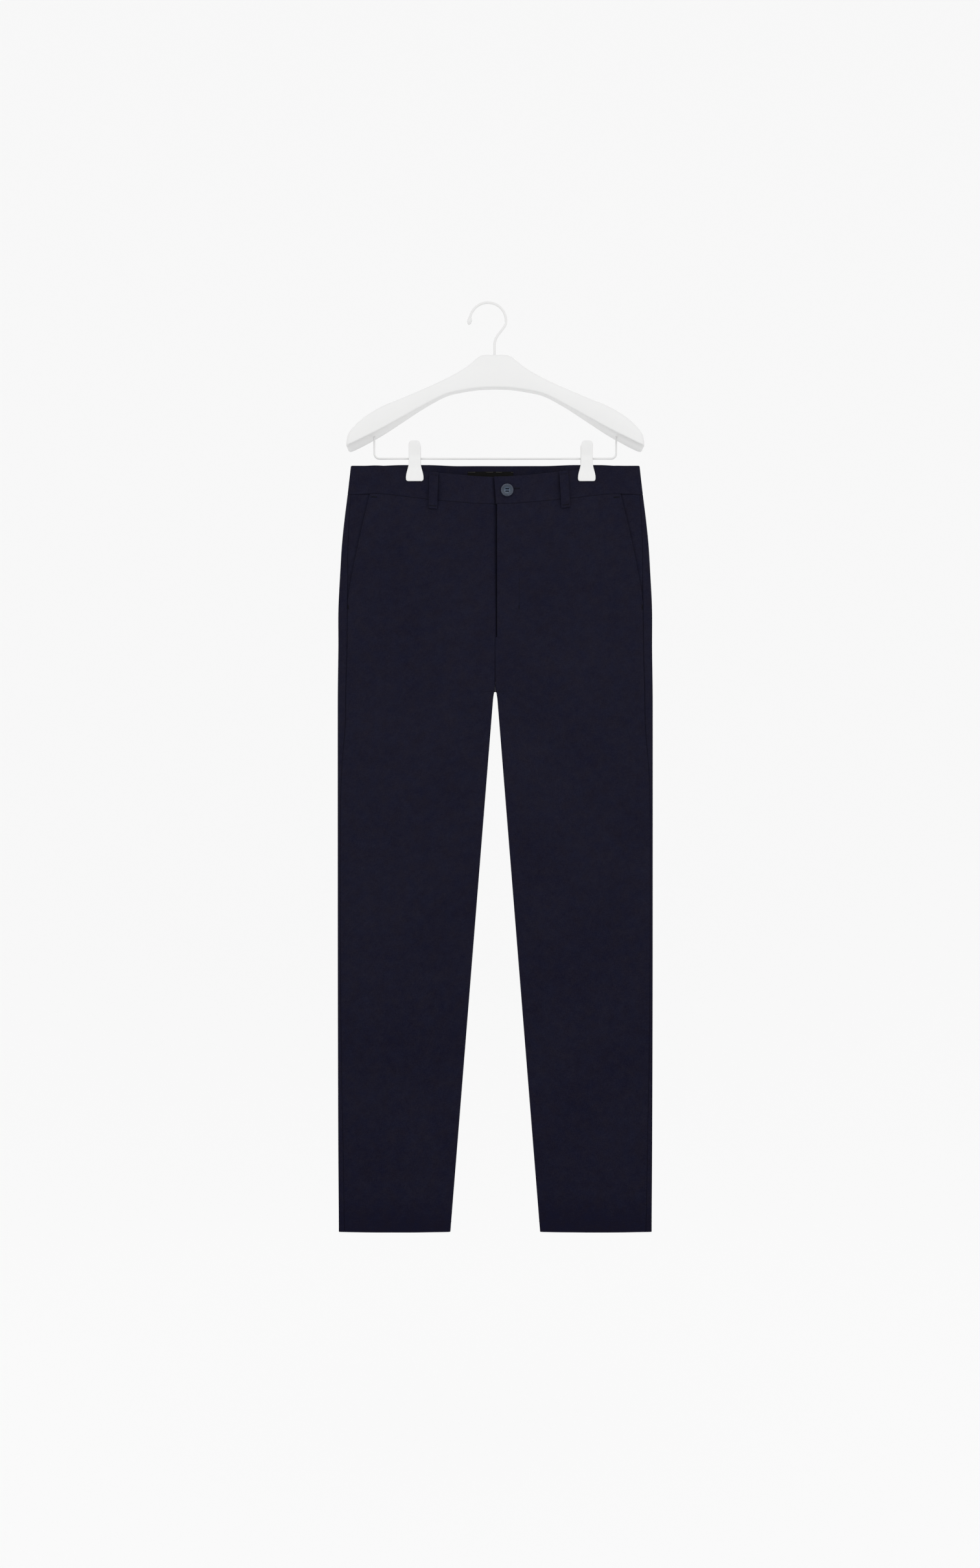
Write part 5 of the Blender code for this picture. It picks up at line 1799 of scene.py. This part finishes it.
def make_bar():
    """Wire let into the underside of the body at both ends."""
    top = float(eased(SHOULDERS, BAR_HALF_WIDTH).bottom) + 0.004
    upright = [(BAR_HALF_WIDTH, z) for z in np.linspace(top, BAR_Z + BAR_BEND, 10)[:-1]]
    corner = [(BAR_HALF_WIDTH - BAR_BEND * (1 - math.cos(a)), BAR_Z + BAR_BEND * (1 - math.sin(a)))
              for a in np.linspace(0.0, math.pi / 2, 13)]
    right = upright + corner
    middle = [(x, BAR_Z) for x in np.linspace(right[-1][0], -right[-1][0], 40)[1:-1]]
    path = right + middle + [(-x, z) for x, z in reversed(right)]
    points = np.array([(MIDDLE_X + x, 0.0, z) for x, z in path])
    lofted("bar_wire", wire_rings(points, BAR_RADIUS, 20), MATERIALS["wire"], "hanger_bar",
           slot="wire", sharp=60)


CLIP_HEIGHT = JAW_ROWS[-1].height
JAW_FOOT_ROUND = 0.0027
JAW_TOP_ROUND = 0.0052
JAW_EDGE = 0.0009             # rounding of the outer edges
JAW_INNER_EDGE = 0.0003
JAW_CROWN = 0.00025
JAW_END = 0.00002             # the last rings lie this close to the ends


def corner_cut(distance, radius):
    """How far a rounded corner takes in an outline near its end."""
    return radius - math.sqrt(max(0.0, radius**2 - max(0.0, radius - distance) ** 2))


def jaw_half_width(height):
    """Outline of a jaw: a flared foot and a straight upper part, with rounded corners."""
    width = float(eased(JAW_ROWS, height).half_width)
    width = width - corner_cut(height, JAW_FOOT_ROUND)
    return width - corner_cut(CLIP_HEIGHT - height, JAW_TOP_ROUND)


def jaw_ring(height, clip_x, sign):
    """Section of a jaw with rounded edges, a little crowned on its outside."""
    half = jaw_half_width(height)
    inside = float(eased(JAW_ROWS, height).inside)
    ease = min(JAW_EDGE, half / 3)
    right = [(half - JAW_INNER_EDGE, 0.0), (half, JAW_INNER_EDGE)]
    right += [(half - ease * (1 - math.cos(a)), CLIP_WALL - ease * (1 - math.sin(a)))
              for a in np.linspace(0.0, math.pi / 2, 6)]
    crowned = [(x, CLIP_WALL + JAW_CROWN * (1 - (x / half) ** 2))
               for x in np.linspace(half - ease, ease - half, 7)[1:-1]]
    outline = right + crowned + [(-x, y) for x, y in reversed(right)]
    return [(MIDDLE_X + clip_x + x, sign * (inside + y), CLIP_BOTTOM_Z + height)
            for x, y in outline]


def make_clips():
    """Two jaws for each clip, and a spring coiled round the bar."""
    heights = CLIP_HEIGHT * (1 - np.cos(np.linspace(0.0, math.pi, 49))) / 2
    heights = np.sort(np.concatenate((heights[1:-1], (JAW_END, CLIP_HEIGHT - JAW_END))))
    for side, clip_x in CLIP_X.items():
        for face, sign in (("front", -1), ("back", 1)):
            lofted(f"jaw_{side}_{face}", [jaw_ring(h, clip_x, sign) for h in heights],
                   MATERIALS["plastic"], f"clip_{side}_{face}", slot="clip", sharp=50)
        make_spring(side, MIDDLE_X + clip_x)


SPRING_TURNS = 8.5
SPRING_RADIUS = 0.0026
SPRING_WIRE = 0.00055
SPRING_LENGTH = 0.0115


def make_spring(side, x):
    """Close turns of wire round the bar."""
    t = np.linspace(0.0, 1.0, int(SPRING_TURNS * 22))
    angle = 2 * math.pi * SPRING_TURNS * t
    coil = np.stack((x + (t - 0.5) * SPRING_LENGTH, SPRING_RADIUS * np.cos(angle),
                     BAR_Z + SPRING_RADIUS * np.sin(angle)), axis=1)
    lofted(f"spring_coil_{side}", wire_rings(coil, SPRING_WIRE, 8, (1.0, 0.0, 0.0)),
           MATERIALS["wire"], f"clip_{side}_spring", slot="wire", sharp=180)


# ---------------------------------------------------------------- stage, light and camera

FLOOR_Z = -1.95
ROOM_RADIUS = 3.6
ROOM_BEND = 1.3
ROOM_TOP = 2.6
ROOM_SIDES = 96
COVE_GLOW = 0.65              # light that the cove gives off
SKY = 0.93                    # brightness of the open top
VIEW_DISTANCE = 2.15
IMAGE = (1512, 2420)
METRES_PER_PIXEL = 0.00094
ORIGIN_PIXEL = (754.5, 469.0)


def pale_finish():
    """Matt pale cove, lit evenly from behind as a light tent is."""
    return Finish("studio_white", Base_Color=(0.30, 0.30, 0.30, 1.0), Roughness=0.9,
                  Specular_IOR_Level=0.0, Emission_Color=(1.0, 1.0, 1.0, 1.0),
                  Emission_Strength=COVE_GLOW).material


def make_stage():
    """Round floor that curves up all round into a low wall, open above."""
    profile = [(0.001, FLOOR_Z), (1.0, FLOOR_Z)]
    profile += [(ROOM_RADIUS - ROOM_BEND + ROOM_BEND * math.sin(a),
                 FLOOR_Z + ROOM_BEND - ROOM_BEND * math.cos(a))
                for a in np.linspace(0.0, math.pi / 2, 20)]
    profile += [(ROOM_RADIUS, ROOM_TOP)]
    around = 2 * math.pi * np.arange(ROOM_SIDES) / ROOM_SIDES
    points = [(r * math.cos(a), r * math.sin(a), z) for r, z in profile for a in around]
    faces = []
    for k in range(len(profile) - 1):
        ring = np.arange(ROOM_SIDES) + ROOM_SIDES * k
        after = np.roll(ring, -1)
        faces += np.stack((ring, after, after + ROOM_SIDES, ring + ROOM_SIDES), axis=1).tolist()
    mesh = bpy.data.meshes.new("studio_cove")
    mesh.from_pydata(points, [], faces)
    mesh.shade_smooth()
    mesh.materials.append(pale_finish())
    new_object("studio_cove", mesh)


def aim(obj, target):
    obj.rotation_euler = (Vector(target) - obj.location).to_track_quat("-Z", "Y").to_euler()


LIGHTS = {"key": (0.15, -2.1, 0.75), "back_key": (-0.15, 2.1, 0.75)}
LIGHT_SIZE = (2.4, 0.9)
LIGHT_POWER = 9.0


def make_lights():
    """An even white surround, and one large soft light on each face."""
    world = bpy.data.worlds.new("studio")
    bpy.context.scene.world = world
    world.use_nodes = True
    background = world.node_tree.nodes["Background"].inputs
    background["Color"].default_value = (1.0, 1.0, 1.0, 1.0)
    background["Strength"].default_value = SKY
    for name, spot in LIGHTS.items():
        data = bpy.data.lights.new(name, "AREA")
        data.shape = "RECTANGLE"
        data.size, data.size_y = LIGHT_SIZE
        data.energy = LIGHT_POWER
        light = new_object(name, data)
        light.location = spot
        light.visible_camera = False
        aim(light, (MIDDLE_X, 0.0, -0.5))


def make_camera():
    """Level, square to the front, centred on the picture's middle."""
    data = bpy.data.cameras.new("camera")
    data.sensor_width = 36.0
    picture_height = IMAGE[1] * METRES_PER_PIXEL
    data.lens = data.sensor_width * VIEW_DISTANCE / picture_height
    data.clip_end = 30.0
    camera = new_object("camera", data)
    x = (IMAGE[0] / 2 - ORIGIN_PIXEL[0]) * METRES_PER_PIXEL
    z = (ORIGIN_PIXEL[1] - IMAGE[1] / 2) * METRES_PER_PIXEL
    camera.location = (x, -VIEW_DISTANCE, z)
    camera.rotation_euler = (math.pi / 2, 0.0, 0.0)
    bpy.context.scene.camera = camera


# ---------------------------------------------------------------- the whole picture

make_camera()
make_stage()
make_lights()
make_panels()
make_waistband()
make_pocket_facings()
make_fly()
make_label()
make_belt_loops()
sew_hems()
sew_fly()
sew_pockets()
sew_waist()
sew_loops()
sew_label()
make_zip_coil()
make_button()
make_button_thread()
make_buttonhole()
make_hanger_body()
make_hook()
make_bar()
make_clips()
bpy.context.scene.view_settings.view_transform = "Standard"
